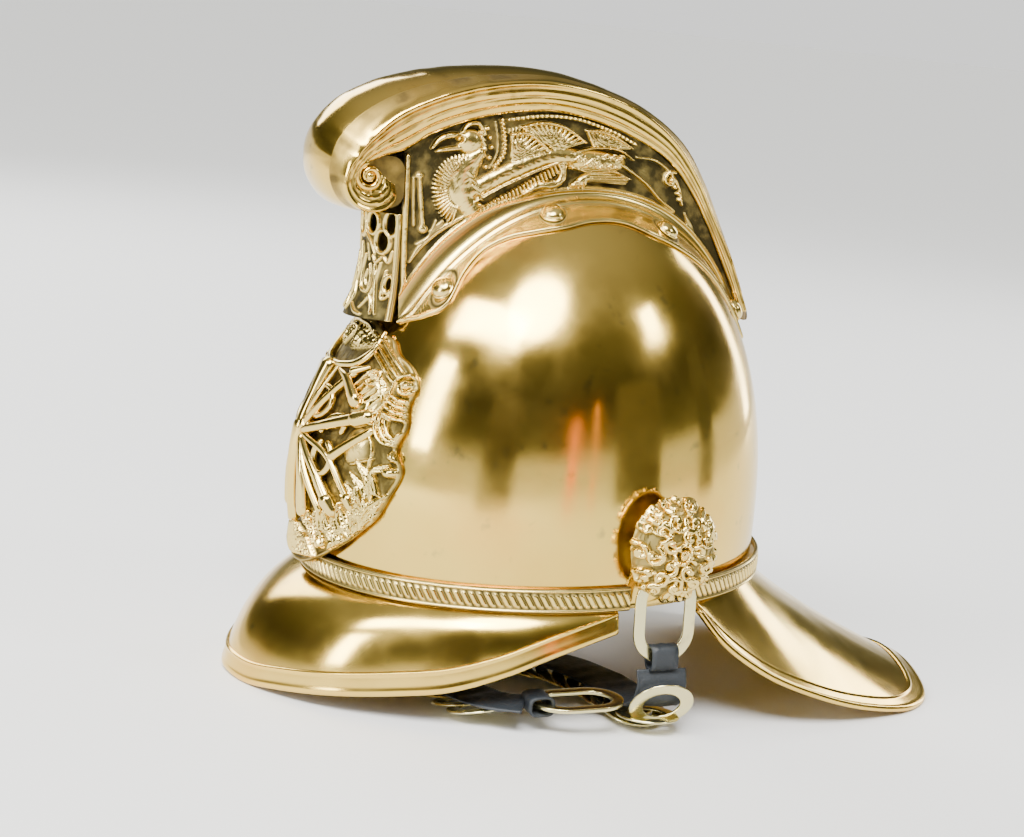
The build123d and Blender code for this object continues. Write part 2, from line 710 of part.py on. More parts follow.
def make_hook():
    """A plate held by the rosette's stud, with a bar that turns up at its end."""
    y, z = HOOK_BAR
    plate = slab((HOOK_PLATE[0], y - 6, z - 3), (HOOK_PLATE[1], y + 6, ROSETTE[2] + 8))
    hook = fillet(plate.edges().filter_by(Axis.X), 2.5)
    hook -= rod((90, *ROSETTE[1:]), (97, *ROSETTE[1:]), STUD_RADIUS)
    hook += rod((HOOK_PLATE[0] + 0.3, y, z), (102.0, y, z), HOOK_WIRE)
    hook += Pos(102.0, y, z) * Sphere(HOOK_WIRE)
    hook += rod((102.0, y, z), (102.0, y, z + 5.5), HOOK_WIRE)
    return hook


# ---------------------------------------------------------------- chin chain
# Middle line of the strap from the hook link to its free end, and the way its ring side faces.
STRAP_ROUTE = [
    ((96.8, 31, -27.5), (1, 0, 0)),
    ((99, 30.8, -35), (1, -0.05, -0.15)),
    ((96.5, 30, -43), (0.7, -0.1, -0.7)),
    ((86, 28.5, -47.4), (0.15, 0, -1)),
    ((70, 26, -47.8), (0, 0, -1)),
    ((44, 21, -47.6), (0, 0, -1)),
    ((18, 7, -46.8), (0, 0, -1)),
    ((8, -18, -45.6), (0, 0, -1)),
    ((22, -42, -44.4), (0, 0, -1)),
    ((46, -53, -43.8), (0, 0, -1)),
    ((70, -50, -43.4), (0, 0, -1)),
    ((84, -41, -43.2), (0, 0, -1)),
    ((88.5, -32, -43.2), (0, 0, -1)),
]
LINK_TOP = HOOK_BAR[1] + HOOK_WIRE + 0.25 + LINK_STRIP
LINK_FOOT = LINK_TOP - LINK_SIZE[1]
LINK_FOOT_MIDDLE = LINK_FOOT + LINK_STRIP / 2
END_LINK_PLACE = (88.5, -6.0, -43.2)      # middle of the free end's link


def long_link():
    """A flat oval link in the XY plane, long way along Y, with its middle at the origin."""
    width, height = LINK_SIZE
    outer = RectangleRounded(width, height, 12.0)
    inner = RectangleRounded(width - 2 * LINK_STRIP, height - 2 * LINK_STRIP, 12.0 - LINK_STRIP)
    return extrude(outer - inner, LINK_SHEET / 2, both=True)


def make_hook_link():
    middle = (LINK_X, HOOK_BAR[0], (LINK_TOP + LINK_FOOT) / 2)
    return Plane(origin=middle, x_dir=(0, 1, 0), z_dir=(1, 0, 0)) * long_link()


def strap_frame(share):
    """Middle, direction, ring side and width direction of the strap at a share of its length."""
    route = Course([p for p, _ in STRAP_ROUTE])
    faces = Course([p + tuple(n) for p, n in STRAP_ROUTE])
    middle = route.at(share)
    ahead = route.at(min(share + 0.004, 1.0)) - route.at(max(share - 0.004, 0.0))
    ahead = ahead / np.linalg.norm(ahead)
    share_of_faces = np.interp(share, route.knots, faces.knots)
    face = faces.at(share_of_faces)[3:]
    face = face - ahead * (face @ ahead)
    face = face / np.linalg.norm(face)
    return middle, ahead, face, np.cross(ahead, face)


def make_strap():
    """The leather backing: a flat strap with a sewn loop round the hook link's foot."""
    rows = []
    for share in np.linspace(0, 1, 61):
        middle, _, face, across = strap_frame(share)
        front = middle + face * STRAP_SHEET / 2
        rows.append([front + across * STRAP_WIDTH / 2 * s for s in (-1, -0.5, 0, 0.5, 1)])
    strap = sheet(rows, STRAP_SHEET, behind=(50, 0, 0))
    hook_loop = strap_loop(LINK_X, HOOK_BAR[0], LINK_FOOT + LINK_STRIP / 2)
    x, y, z = END_LINK_PLACE
    end_loop = Pos(x, y - LINK_SIZE[1] / 2 + LINK_STRIP / 2, z) * Rot(-90, 0, 90) * strap_loop(0, 0, 0)
    return strap + hook_loop + end_loop


def strap_loop(x, y, z):
    """A sewn loop, 13 mm wide along Y, with a short neck below it that joins the strap."""
    loop = Plane.XZ * (RectangleRounded(9.4, 12.4, 3.5) - RectangleRounded(5.4, 8.6, 2.0))
    loop = extrude(loop, 6.5, both=True)
    neck = slab((-STRAP_SHEET / 2, -6.5, -8.2), (STRAP_SHEET / 2, 6.5, -5.2))
    return Pos(x, y, z) * (loop + neck)


def ring_shares():
    length = 0.0
    previous = strap_frame(0)[0]
    lengths = [0.0]
    for share in np.linspace(0, 1, 401)[1:]:
        middle = strap_frame(share)[0]
        length += np.linalg.norm(middle - previous)
        previous = middle
        lengths.append(length)
    count = int((length - 22) / RING_PITCH)
    places = [14.0 + RING_PITCH * i for i in range(count)]
    return np.interp(places, lengths, np.linspace(0, 1, 401))


def make_rings():
    """Flat rings sewn on like tiles, each one's leading edge on the next one's back."""
    rings = []
    ring = extrude(Circle(RING_OUTER) - Circle(RING_INNER), RING_SHEET / 2, both=True)
    lift = STRAP_SHEET / 2 + RING_SHEET / 2 + RING_OUTER * sin(radians(RING_TILT)) + 0.4
    for share in ring_shares():
        middle, ahead, face, across = strap_frame(share)
        place = Plane(origin=Vector(*(middle + face * lift)), x_dir=Vector(*ahead), z_dir=Vector(*face))
        rings.append((place * Rot(0, RING_TILT, 0) * ring).solids()[0])
    return Compound(children=rings)


def make_end_link():
    return Pos(*END_LINK_PLACE) * long_link()


# ---------------------------------------------------------------- liner
def make_sweatband():
    outer = -SKULL_SHEET - LINER_GAP
    band = band_ring(outer - SWEATBAND_SHEET, outer, SWEATBAND_FOOT, SWEATBAND_TOP)
    for side in (-1, 1):
        band -= rod((side * 60, *ROSETTE[1:]), (side * 110, *ROSETTE[1:]), 8.0)
    return band.solids()[0]


def tongue_point(turn, rise):
    """Point of the liner's domed inner surface: rise runs from the sweatband to the crown."""
    z = 38.0 + 112.0 * sin(radians(78) * rise)
    share = sqrt(max(1 - ((z - 20.0) / 150.0) ** 2, 0.0))
    x = (HALF_WIDTH - 12.0) * share * cos(turn)
    y = SKULL_LEAN * z + (HALF_LENGTH - 12.0) * share * sin(turn)
    return np.array([x, y, z])


def make_tongue(index):
    """One tapering leather tongue, with its end near the crown."""
    middle = 2 * pi * (index + 0.5) / TONGUE_COUNT
    half = pi / TONGUE_COUNT * 0.93
    rows = []
    for rise in np.linspace(0, 1, 11):
        spread = half * (1 - 0.12 * rise)
        rows.append([tongue_point(middle + spread * s, rise) for s in np.linspace(-1, 1, 7)])
    return sheet(rows, TONGUE_SHEET, behind=tongue_point(middle, 0.5) * 2)


def make_tongues():
    return Compound(children=[make_tongue(i) for i in range(TONGUE_COUNT)])


def make_lace():
    """The drawstring that gathers the tongues' ends."""
    top = tongue_point(0, 1.0)[2] + 3.4
    ring = Pos(0, SKULL_LEAN * top, top) * Torus(26.0, 1.3)
    return ring


def make_liner_clips():
    """Folded brass tabs that hold the sweatband's foot to the skull."""
    outer = -SKULL_SHEET - 0.1
    foot = band_ring(outer - SWEATBAND_SHEET - 1.6, outer, SWEATBAND_FOOT - 1.0, SWEATBAND_FOOT - 0.3)
    wall = band_ring(outer - SWEATBAND_SHEET - 1.6, outer - SWEATBAND_SHEET - 0.9, SWEATBAND_FOOT - 1.0, 16.0)
    tabs = []
    for turn in (20, 65, 115, 160, 200, 250, 290, 340):
        sector = Rot(0, 0, turn) * slab((40, -5, 0), (150, 5, 30))
        tabs.append(((foot + wall) & sector).solids()[0])
    return Compound(children=tabs)


# ---------------------------------------------------------------- assembly
def make_rivets(turns):
    """Flush rivets through the skull and a peak's flange, with a head inside."""
    rivets = []
    for place in peak_rivet_places(turns):
        shank = along(place, -SKULL_SHEET - 0.4, GAP + SHEET - 0.05, RIVET_SHANK - 0.02)
        head = along(place, -SKULL_SHEET - 1.6, -SKULL_SHEET - 0.35, 3.0)
        rivets.append((shank + head).solids()[0])
    return Compound(children=rivets)


def make_parts():
    front = (FRONT_EDGE, FRONT_ROOT, FRONT_SWELL)
    rear = (REAR_EDGE, REAR_ROOT, REAR_SWELL)
    front_peak = make_peak(*front, slab((-150, -150, -9), (150, 7, 30)), FRONT_PEAK_RIVETS)
    neck_guard = make_peak(*rear, slab((-150, 52, -9), (150, 150, 30)), NECK_GUARD_RIVETS)
    comb_side = make_comb_side()
    parts = {
        "skull_shell": make_skull(),
        "headband_front": make_headband_front(),
        "headband_rear": make_headband_rear(),
        "front_peak": front_peak,
        "front_peak_binding": make_binding(*front),
        "front_peak_rivets": make_rivets(FRONT_PEAK_RIVETS),
        "neck_guard": neck_guard,
        "neck_guard_binding": make_binding(*rear),
        "neck_guard_rivets": make_rivets(NECK_GUARD_RIVETS),
        "comb_side_left": comb_side,
        "comb_side_right": mirrored(comb_side),
        "comb_cap": make_comb_cap(),
        "comb_scroll_bosses": make_scroll_bosses(),
        "comb_scroll_backing": make_scroll_backing(),
        "comb_front_fret": make_fret(),
        "comb_rivets": make_comb_rivets(),
        "comb_rivet_washers": make_comb_washers(),
        "front_badge_plate": make_badge(),
        "badge_emblem": make_emblem(),
        "badge_studs": make_badge_studs(),
        "badge_nuts": make_badge_nuts(),
        "hook_link": make_hook_link(),
        "chin_chain_leather": make_strap(),
        "chin_chain_rings": make_rings(),
        "chin_chain_end_link": make_end_link(),
        "liner_sweatband": make_sweatband(),
        "liner_tongues": make_tongues(),
        "liner_lace": make_lace(),
        "liner_clips": make_liner_clips(),
    }
    ear_parts = {
        "rosette": make_rosette(),
        "rosette_spacer": make_rosette_spacer(),
        "rosette_stud": make_rosette_stud(),
        "rosette_washer": make_rosette_washer(),
        "rosette_nut": make_rosette_nut(),
        "chain_hook": make_hook(),
    }
    for name, shape in ear_parts.items():
        parts[f"{name}_left"] = shape
        parts[f"{name}_right"] = mirrored(shape)
    return parts


def seated(shape):
    """Tips the helmet onto its front peak and neck guard, with the table at z = 0."""
    return Pos(0, SEAT_BACK, SEAT_RISE) * Rot(SEAT_TILT, 0, 0) * shape


os.makedirs("parts", exist_ok=True)
for node, part in make_parts().items():
    export_step(seated(part), f"parts/{node}.step")
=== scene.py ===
"""Looks of the brass fire helmet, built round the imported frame.

Shapes are worked out in the helmet's own frame: millimetres, +Z up the skull, -Y out of the badge,
+X to the wearer's left, headband at z = 0. `seated` then carries them to the row frame.
"""

import json
from math import atan2, cos, pi, radians, sin, sqrt

import bpy
import numpy as np
from mathutils import Matrix, Vector


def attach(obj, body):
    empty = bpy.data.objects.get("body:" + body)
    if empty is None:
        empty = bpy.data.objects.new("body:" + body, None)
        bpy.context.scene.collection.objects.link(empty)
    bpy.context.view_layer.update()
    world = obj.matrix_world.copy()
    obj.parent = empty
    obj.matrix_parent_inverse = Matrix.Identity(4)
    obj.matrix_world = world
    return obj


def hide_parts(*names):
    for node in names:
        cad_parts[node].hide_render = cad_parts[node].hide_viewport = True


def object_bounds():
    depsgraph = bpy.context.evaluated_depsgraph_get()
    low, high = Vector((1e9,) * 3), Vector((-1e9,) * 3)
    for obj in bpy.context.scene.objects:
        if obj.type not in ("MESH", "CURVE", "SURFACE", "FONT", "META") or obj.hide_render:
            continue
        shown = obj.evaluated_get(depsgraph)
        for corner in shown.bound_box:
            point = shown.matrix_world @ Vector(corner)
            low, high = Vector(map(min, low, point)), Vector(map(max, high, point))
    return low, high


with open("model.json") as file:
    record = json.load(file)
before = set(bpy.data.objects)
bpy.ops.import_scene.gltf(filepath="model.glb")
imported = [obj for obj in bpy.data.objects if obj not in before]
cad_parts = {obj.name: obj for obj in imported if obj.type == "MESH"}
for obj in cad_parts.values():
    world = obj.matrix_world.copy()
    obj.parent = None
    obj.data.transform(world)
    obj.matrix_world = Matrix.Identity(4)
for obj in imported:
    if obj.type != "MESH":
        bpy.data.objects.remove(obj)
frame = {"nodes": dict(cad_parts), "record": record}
cad_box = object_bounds()
joints = {joint["name"]: joint for joint in frame["record"]["behaviour"]["joints"]}
rng = np.random.default_rng(7)

# ---------------------------------------------------------------- driving sizes, mm
SKULL_LENGTH, SKULL_WIDTH, SKULL_HEIGHT = 220.0, 183.4, 181.0
CROWN_POWER, SIDE_POWER, SKULL_BULGE, SKULL_LEAN = 2.45, 2.1, 0.018, 0.055
SKULL_SHEET, SHEET, GAP = 1.1, 1.0, 0.3
HALF_LENGTH, HALF_WIDTH = SKULL_LENGTH / 2, SKULL_WIDTH / 2
HOOK_BAR = (96.8, 31.0, 12.0)          # in the helmet frame, where the record puts link swing
ROSETTE = (99.0, 31.0, 30.0)
ROSETTE_SIZE = (14.0, 20.5, 24.0)

# ---------------------------------------------------------------- helmet frame to row frame
_axis = joints["chin_chain_swing"]["axis"]
TILT = atan2(_axis[2], _axis[1])
TURN = np.array([[1, 0, 0], [0, cos(TILT), -sin(TILT)], [0, sin(TILT), cos(TILT)]])
SHIFT = np.array(joints["hook_link_swing"]["pos_m"]) - TURN @ np.array(HOOK_BAR) / 1000


def seated(points):
    """Points in the helmet frame, mm, as points in the row frame, metres."""
    return np.asarray(points, float) @ TURN.T / 1000 + SHIFT


def unseated(points):
    """Points in the row frame, metres, as points in the helmet frame, mm."""
    return (np.asarray(points, float) - SHIFT) @ TURN * 1000


# ---------------------------------------------------------------- curves and the skull's form
class Course:
    """A smooth curve through a few points, read at t from 0 to 1, for one t or many."""

    def __init__(self, points):
        self.points = np.array(points, float)
        steps = np.linalg.norm(np.diff(self.points, axis=0), axis=1)
        self.knots = np.concatenate([[0.0], np.cumsum(steps)]) / steps.sum()
        self.slopes = np.gradient(self.points, self.knots, axis=0)

    def at(self, t):
        t = np.asarray(t, float)
        span = np.clip(np.searchsorted(self.knots, t) - 1, 0, len(self.knots) - 2)
        width = self.knots[span + 1] - self.knots[span]
        u, width = ((t - self.knots[span]) / width)[..., None], width[..., None]
        start, end = self.points[span], self.points[span + 1]
        rise, fall = self.slopes[span] * width, self.slopes[span + 1] * width
        return (
            (2 * u**3 - 3 * u**2 + 1) * start + (u**3 - 2 * u**2 + u) * rise
            + (3 * u**2 - 2 * u**3) * end + (u**3 - u**2) * fall
        )

    def over(self, key, column=0):
        """The curve's points where its rising `column` equals `key`."""
        order = np.argsort(self.points[:, column])
        return self.at(np.interp(key, self.points[order, column], self.knots[order]))


def skull_share(z):
    """The skull's width at a height, as a share of its width at the headband."""
    rise = np.clip(np.asarray(z, float) / SKULL_HEIGHT, 0, 1)
    return (1 - rise**CROWN_POWER) ** (1 / SIDE_POWER) * (1 + SKULL_BULGE * np.sin(pi * rise))


def skull_level(x, y, z):
    """Below zero inside the skull, above zero outside."""
    return (x / HALF_WIDTH) ** 2 + ((y - SKULL_LEAN * z) / HALF_LENGTH) ** 2 - skull_share(z) ** 2


def skull_normal(points):
    """Outward directions of the skull near points."""
    step = 0.2
    x, y, z = np.moveaxis(np.asarray(points, float), -1, 0)
    slope = np.stack([
        skull_level(x + step, y, z) - skull_level(x - step, y, z),
        skull_level(x, y + step, z) - skull_level(x, y - step, z),
        skull_level(x, y, z + step) - skull_level(x, y, z - step),
    ], -1)
    return slope / np.linalg.norm(slope, axis=-1, keepdims=True)


def skull_above(x, y):
    """Points of the skull straight above (x, y)."""
    x, y = np.broadcast_arrays(np.asarray(x, float), np.asarray(y, float))
    low, high = np.zeros(x.shape), np.full(x.shape, SKULL_HEIGHT)
    for _ in range(34):
        middle = (low + high) / 2
        inside = skull_level(x, y, middle) < 0
        low, high = np.where(inside, middle, low), np.where(inside, high, middle)
    return np.stack([x, y, low], -1)


def skull_front(x, z):
    """Points of the skull straight ahead of (x, z)."""
    depth = np.sqrt(np.maximum(skull_share(z) ** 2 - (x / HALF_WIDTH) ** 2, 0))
    return np.stack(np.broadcast_arrays(x, SKULL_LEAN * z - HALF_LENGTH * depth, z), -1)


def skull_at(turn, z, off=0.0):
    """Points of the skull at a turn round it and a height, `off` mm outside."""
    share = skull_share(z)
    x = (HALF_WIDTH * share + off) * np.cos(turn)
    y = SKULL_LEAN * z + (HALF_LENGTH * share + off) * np.sin(turn)
    return np.stack(np.broadcast_arrays(x, y, z), -1)


def smooth_noise(shape, cells, seed):
    """A soft random field over a grid, from -1 to 1, with about `cells` bumps each way."""
    rough = np.random.default_rng(seed).uniform(-1, 1, (cells[0] + 3, cells[1] + 3))
    rows, columns = np.linspace(1, cells[0] + 1, shape[0]), np.linspace(1, cells[1] + 1, shape[1])
    i, j = rows.astype(int), columns.astype(int)
    a, b = (rows - i)[:, None], (columns - j)[None, :]
    a, b = a * a * (3 - 2 * a), b * b * (3 - 2 * b)
    top = rough[np.ix_(i, j)] * (1 - b) + rough[np.ix_(i, j + 1)] * b
    low = rough[np.ix_(i + 1, j)] * (1 - b) + rough[np.ix_(i + 1, j + 1)] * b
    return top * (1 - a) + low * a


# ---------------------------------------------------------------- meshes
def grid_normals(grid):
    """Unit normals of a grid of points, towards (row direction) x (column direction)."""
    normal = np.cross(np.gradient(grid, axis=0), np.gradient(grid, axis=1))
    return normal / np.maximum(np.linalg.norm(normal, axis=2, keepdims=True), 1e-9)


def show(name, data):
    """A new object in the scene."""
    made = bpy.data.objects.new(name, data)
    bpy.context.scene.collection.objects.link(made)
    return made


def piece(name, points, faces, material, body="helmet", stands_for=(), slot=None, tone=None):
    """A smooth mesh from helmet-frame points, riding on a body and standing for CAD nodes."""
    mesh = bpy.data.meshes.new(name)
    mesh.from_pydata(seated(points).tolist(), [], [list(map(int, f)) for f in faces])
    mesh.validate()
    mesh.shade_smooth()
    if tone is not None:
        layer = mesh.attributes.new("tone", "FLOAT", "POINT")
        layer.data.foreach_set("value", np.asarray(tone, np.float32).ravel())
    made = show(name, mesh)
    mesh.materials.append(material)
    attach(made, body)
    if stands_for:
        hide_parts(*stands_for)
    return made


def quads(rows, columns, wrap=False, start=0):
    """Faces of a grid. With wrap, the last column joins the first."""
    i, j = np.meshgrid(np.arange(rows - 1), np.arange(columns if wrap else columns - 1), indexing="ij")
    k = (j + 1) % columns
    faces = np.stack([i * columns + j, (i + 1) * columns + j, (i + 1) * columns + k, i * columns + k], -1)
    return (faces.reshape(-1, 4) + start).tolist()


def tube_faces(rows, columns, start=0):
    """Faces of a closed tube with flat ends: each row of the grid is one loop of it."""
    ends = [list(range(columns)), list(range((rows - 1) * columns, rows * columns))[::-1]]
    return quads(rows, columns, wrap=True, start=start) + [[v + start for v in end] for end in ends]


def flipped(points):
    """The mirror image across the centre plane."""
    return np.asarray(points) * (-1, 1, 1)


def piece_pair(left, right, points, faces, material, slot, tone):
    """A left piece and its mirror image: each side is (piece name, the node it stands for)."""
    piece(left[0], points, faces, material, stands_for=(left[1],), slot=slot, tone=tone)
    turned = [face[::-1] for face in faces]
    piece(right[0], flipped(points), turned, material, stands_for=(right[1],), slot=slot, tone=tone)


def rounded(angle, power):
    """cos and sin of an angle, each pressed towards a square's edge by a power below 1."""
    c, s = cos(angle), sin(angle)
    return np.sign(c) * abs(c) ** power[0], np.sign(s) * abs(s) ** power[1]


def both_sides_meshes(points, faces):
    """A mesh together with its mirror image, as one list of points and faces."""
    points = np.asarray(points).reshape(-1, 3)
    mirror = [[v + len(points) for v in face[::-1]] for face in faces]
    return np.concatenate([points, flipped(points)]), list(faces) + mirror


# A rounded bar's end: how far out and how wide, as shares of its radius.
ROD_END = [(0.5, 0.87), (0.87, 0.5), (1.0, 0.12)]


def rod_mesh(line, radii, sides=14, flat=1.0, up=None):
    """A tapered round bar along a line of points, with rounded ends."""
    line, radii = np.asarray(line, float), np.broadcast_to(radii, (len(line),)).astype(float)
    ahead = np.gradient(line, axis=0)
    ahead /= np.linalg.norm(ahead, axis=1, keepdims=True)
    up = np.array([0.3, -0.5, 0.8]) if up is None else up
    side = np.cross(ahead, np.broadcast_to(up, line.shape))
    side /= np.linalg.norm(side, axis=1, keepdims=True)
    rise = np.cross(side, ahead)
    turn = np.linspace(0, 2 * pi, sides, endpoint=False)
    loop = np.cos(turn)[None, :, None] * side[:, None] + np.sin(turn)[None, :, None] * rise[:, None] * flat
    rings = line[:, None] + loop * radii[:, None, None]
    caps = []
    for end, way in ((0, -1), (-1, 1)):
        caps.append([
            line[end] + ahead[end] * way * radii[end] * out + loop[end] * radii[end] * wide
            for out, wide in ROD_END
        ])
    rings = np.concatenate([np.array(caps[0])[::-1], rings, np.array(caps[1])])
    return rings.reshape(-1, 3), tube_faces(len(rings), sides)


def lathe_mesh(origin, axis, profile, sides=32, start_dir=(0, 0, 1)):
    """A turned solid: profile is (radius, distance along the axis), closed at both ends."""
    origin, axis = np.asarray(origin, float), np.asarray(axis, float) / np.linalg.norm(axis)
    side = np.cross(axis, start_dir)
    if np.linalg.norm(side) < 1e-6:
        side = np.cross(axis, (0, 1, 0))
    side /= np.linalg.norm(side)
    other = np.cross(axis, side)
    turn = np.linspace(0, 2 * pi, sides, endpoint=False)
    circle = np.cos(turn)[:, None] * side + np.sin(turn)[:, None] * other
    rings = [origin + axis * along + circle * radius for radius, along in profile]
    return np.array(rings).reshape(-1, 3), tube_faces(len(profile), sides)


def joined(parts):
    """Several (points, faces) as one."""
    points, faces, count = [], [], 0
    for part_points, part_faces in parts:
        points.append(np.asarray(part_points).reshape(-1, 3))
        faces += [[v + count for v in face] for face in part_faces]
        count += len(points[-1])
    return np.concatenate(points), faces


class Relief:
    """A height field drawn with strokes over sample places (u, v) on a surface."""

    def __init__(self, u, v):
        self.u, self.v = u, v
        self.height = np.zeros(u.shape)

    def _near(self, points, reach):
        low, high = points.min(0) - reach, points.max(0) + reach
        return (self.u > low[0]) & (self.u < high[0]) & (self.v > low[1]) & (self.v < high[1])

    def _lay(self, near, height, carve):
        old = self.height[near]
        self.height[near] = old - height if carve else np.maximum(old, height)

    def stroke(self, points, width, height, ends=(1, 1), power=0.5, wave=0.0, pitch=2.0, carve=False):
        """A rounded ridge along a smooth line. ends taper its width; wave and pitch twist it."""
        points = np.array(points, float)
        line = Course(points).at(np.linspace(0, 1, 4 * len(points) + 2)) if len(points) > 2 else points
        near = self._near(line, width)
        if not near.any():
            return
        place = np.stack([self.u[near], self.v[near]], -1)
        best, along = np.full(len(place), 1e9), np.zeros(len(place))
        lengths = np.linalg.norm(np.diff(line, axis=0), axis=1)
        total, so_far = lengths.sum(), 0.0
        for a, b, length in zip(line[:-1], line[1:], lengths):
            t = np.clip((place - a) @ (b - a) / max(length**2, 1e-9), 0, 1)
            gap = np.linalg.norm(place - a - t[:, None] * (b - a), axis=1)
            closer = gap < best
            best, along = np.where(closer, gap, best), np.where(closer, so_far + t * length, along)
            so_far += length
        share = along / total
        middle = 4 * share * (1 - share)
        taper = ends[0] + (ends[1] - ends[0]) * share
        wide = width / 2 * (taper + (1 - taper) * middle) if min(ends) < 1 else width / 2
        dome = np.maximum(1 - (best / np.maximum(wide, 1e-3)) ** 2, 0)
        rise = height * (1 - wave + wave * np.cos(2 * pi * along / pitch)) * (dome > 0) * dome**power
        self._lay(near, rise, carve)

    def blob(self, middle, size, height, turn=0.0, power=0.5, carve=False):
        """An oval dome."""
        middle, reach = np.array([middle], float), max(size)
        near = self._near(middle, reach)
        du, dv = self.u[near] - middle[0, 0], self.v[near] - middle[0, 1]
        a, b = du * cos(turn) + dv * sin(turn), -du * sin(turn) + dv * cos(turn)
        dome = np.maximum(1 - (a / size[0]) ** 2 - (b / size[1]) ** 2, 0)
        self._lay(near, height * dome**power, carve)

    def leaf(self, root, tip, width, height, bend=0.0):
        """A pointed leaf with a groove down its middle and two side veins."""
        root, tip = np.array(root, float), np.array(tip, float)
        side = np.array([root[1] - tip[1], tip[0] - root[0]])
        middle = (root + tip) / 2 + side * bend
        self.stroke([root, middle, tip], width, height, (0.35, 0.05), power=0.6)
        rib = [root, middle, root + (tip - root) * 0.9]
        self.stroke(rib, width * 0.16, height * 0.45, (1, 0.3), carve=True)
        for way in (-1, 1):
            offset = side / np.linalg.norm(side) * width * 0.25 * way
            self.stroke([root, middle + offset, tip], width * 0.12, height * 0.25, (1, 0.3), carve=True)

    def scroll(self, eye, radius, start, turns, width, height, way=1):
        """A spiral ridge that winds into a ball at its eye."""
        angles = np.linspace(0, turns * 2 * pi, int(10 * turns) + 4)
        reach = radius * (1 - 0.75 * angles / angles[-1])
        turned = start + way * angles
        line = np.stack([eye[0] + reach * np.cos(turned), eye[1] + reach * np.sin(turned)], 1)
        self.stroke(line, width, height, (1.0, 0.6))
        self.blob(eye, (radius * 0.36, radius * 0.36), height * 1.25)


# ---------------------------------------------------------------- materials
def new_material(name):
    """A material with its nodes, its links and its surface shader."""
    material = bpy.data.materials.new(name)
    material.use_nodes = True
    nodes = material.node_tree.nodes
    return material, nodes, material.node_tree.links, nodes["Principled BSDF"]


def plain_material(name, colour, roughness, glow=0.0):
    """A matt material of one colour, for the floor and the screens. With a glow above zero it also shines in
    that colour, as the orange screens do to put painted reflections in the brass.
    """
    material, _, _, surface = new_material(name)
    surface.inputs["Base Color"].default_value = (*colour, 1)
    surface.inputs["Roughness"].default_value = roughness
    surface.inputs["Emission Color"].default_value = (*colour, 1)
    surface.inputs["Emission Strength"].default_value = glow
    return material


def bumped(nodes, links, height, depth, strength, under=None):
    """A bump node's normal; depth in metres, on top of another bump if one is given."""
    bump = nodes.new("ShaderNodeBump")
    bump.inputs["Strength"].default_value = strength
    bump.inputs["Distance"].default_value = depth
    links.new(height, bump.inputs["Height"])
    if under:
        links.new(under, bump.inputs["Normal"])
    return bump.outputs["Normal"]


def ranged(nodes, links, value, low=0.0, high=1.0, to_low=0.0, to_high=1.0):
    """A value carried from one range to another."""
    node = nodes.new("ShaderNodeMapRange")
    node.inputs["From Min"].default_value = low
    node.inputs["From Max"].default_value = high
    node.inputs["To Min"].default_value = to_low
    node.inputs["To Max"].default_value = to_high
    links.new(value, node.inputs["Value"])
    return node.outputs["Result"]


def shader(name, base, dark, roughness, oxide_and_shade_strength=0.5, bump=0.02, tarnish=0.3, relief=False):
    """Aged brass: bright where it is rubbed, darker and greener in the hollows, with soft tarnish. The
    darkening follows the tone attribute: oxide in the hollows, and painted shadow where a piece lowers its
    tone for shade, as round the comb rivets.
    """
    material, nodes, links, surface = new_material(name)
    surface.inputs["Metallic"].default_value = 1.0
    place = nodes.new("ShaderNodeTexCoord").outputs["Object"]

    def noise(scale, detail=4.0):
        texture = nodes.new("ShaderNodeTexNoise")
        texture.inputs["Scale"].default_value = scale
        texture.inputs["Detail"].default_value = detail
        links.new(place, texture.inputs["Vector"])
        return texture.outputs["Fac"]

    def ramp(value, low, high):
        return ranged(nodes, links, value, low, high)

    def mixed(share, first, second):
        node = nodes.new("ShaderNodeMix")
        node.data_type = "RGBA"
        links.new(share, node.inputs["Factor"])
        for value, socket in ((first, node.inputs[6]), (second, node.inputs[7])):
            if isinstance(value, tuple):
                socket.default_value = (*value, 1)
            else:
                links.new(value, socket)
        return node.outputs[2]

    def times(value, factor):
        node = nodes.new("ShaderNodeMath")
        node.operation = "MULTIPLY"
        links.new(value, node.inputs[0])
        if isinstance(factor, float):
            node.inputs[1].default_value = factor
        else:
            links.new(factor, node.inputs[1])
        return node.outputs[0]

    warm = (base[0] * 1.0, base[1] * 0.72, base[2] * 0.42)
    colour = mixed(times(ramp(noise(22), 0.5, 0.75), tarnish), base, warm)
    olive = (base[0] * 0.80, base[1] * 0.86, base[2] * 0.80)
    colour = mixed(times(ramp(noise(9), 0.45, 0.7), tarnish * 1.3), colour, olive)
    spots = times(ramp(noise(95, 6), 0.62, 0.74), tarnish)
    colour = mixed(spots, colour, dark)
    if relief:
        tone = nodes.new("ShaderNodeAttribute")
        tone.attribute_name = "tone"
        # low tone darkens the colour: oxide in the hollows, and painted shadow where the tone was lowered for
        # shade
        hollow = ramp(tone.outputs["Fac"], 0.62, 0.10)
        oxide_and_shade_mask = times(hollow, ramp(noise(120, 6), -0.35, 0.55))
        colour = mixed(times(oxide_and_shade_mask, oxide_and_shade_strength), colour, dark)
        rough_share = times(oxide_and_shade_mask, 1.0)
    else:
        rough_share = ramp(noise(40, 5), 0.35, 0.8)
    links.new(colour, surface.inputs["Base Color"])
    roughest = roughness + (0.45 if relief else 0.12)
    links.new(ranged(nodes, links, rough_share, 0, 1, roughness, roughest), surface.inputs["Roughness"])
    grain = bumped(nodes, links, noise(260.0, 3), bump / 1000, 0.35)
    beaten = bumped(nodes, links, noise(26, 2), bump * 12 / 1000, 0.5, grain)
    links.new(beaten, surface.inputs["Normal"])
    return material


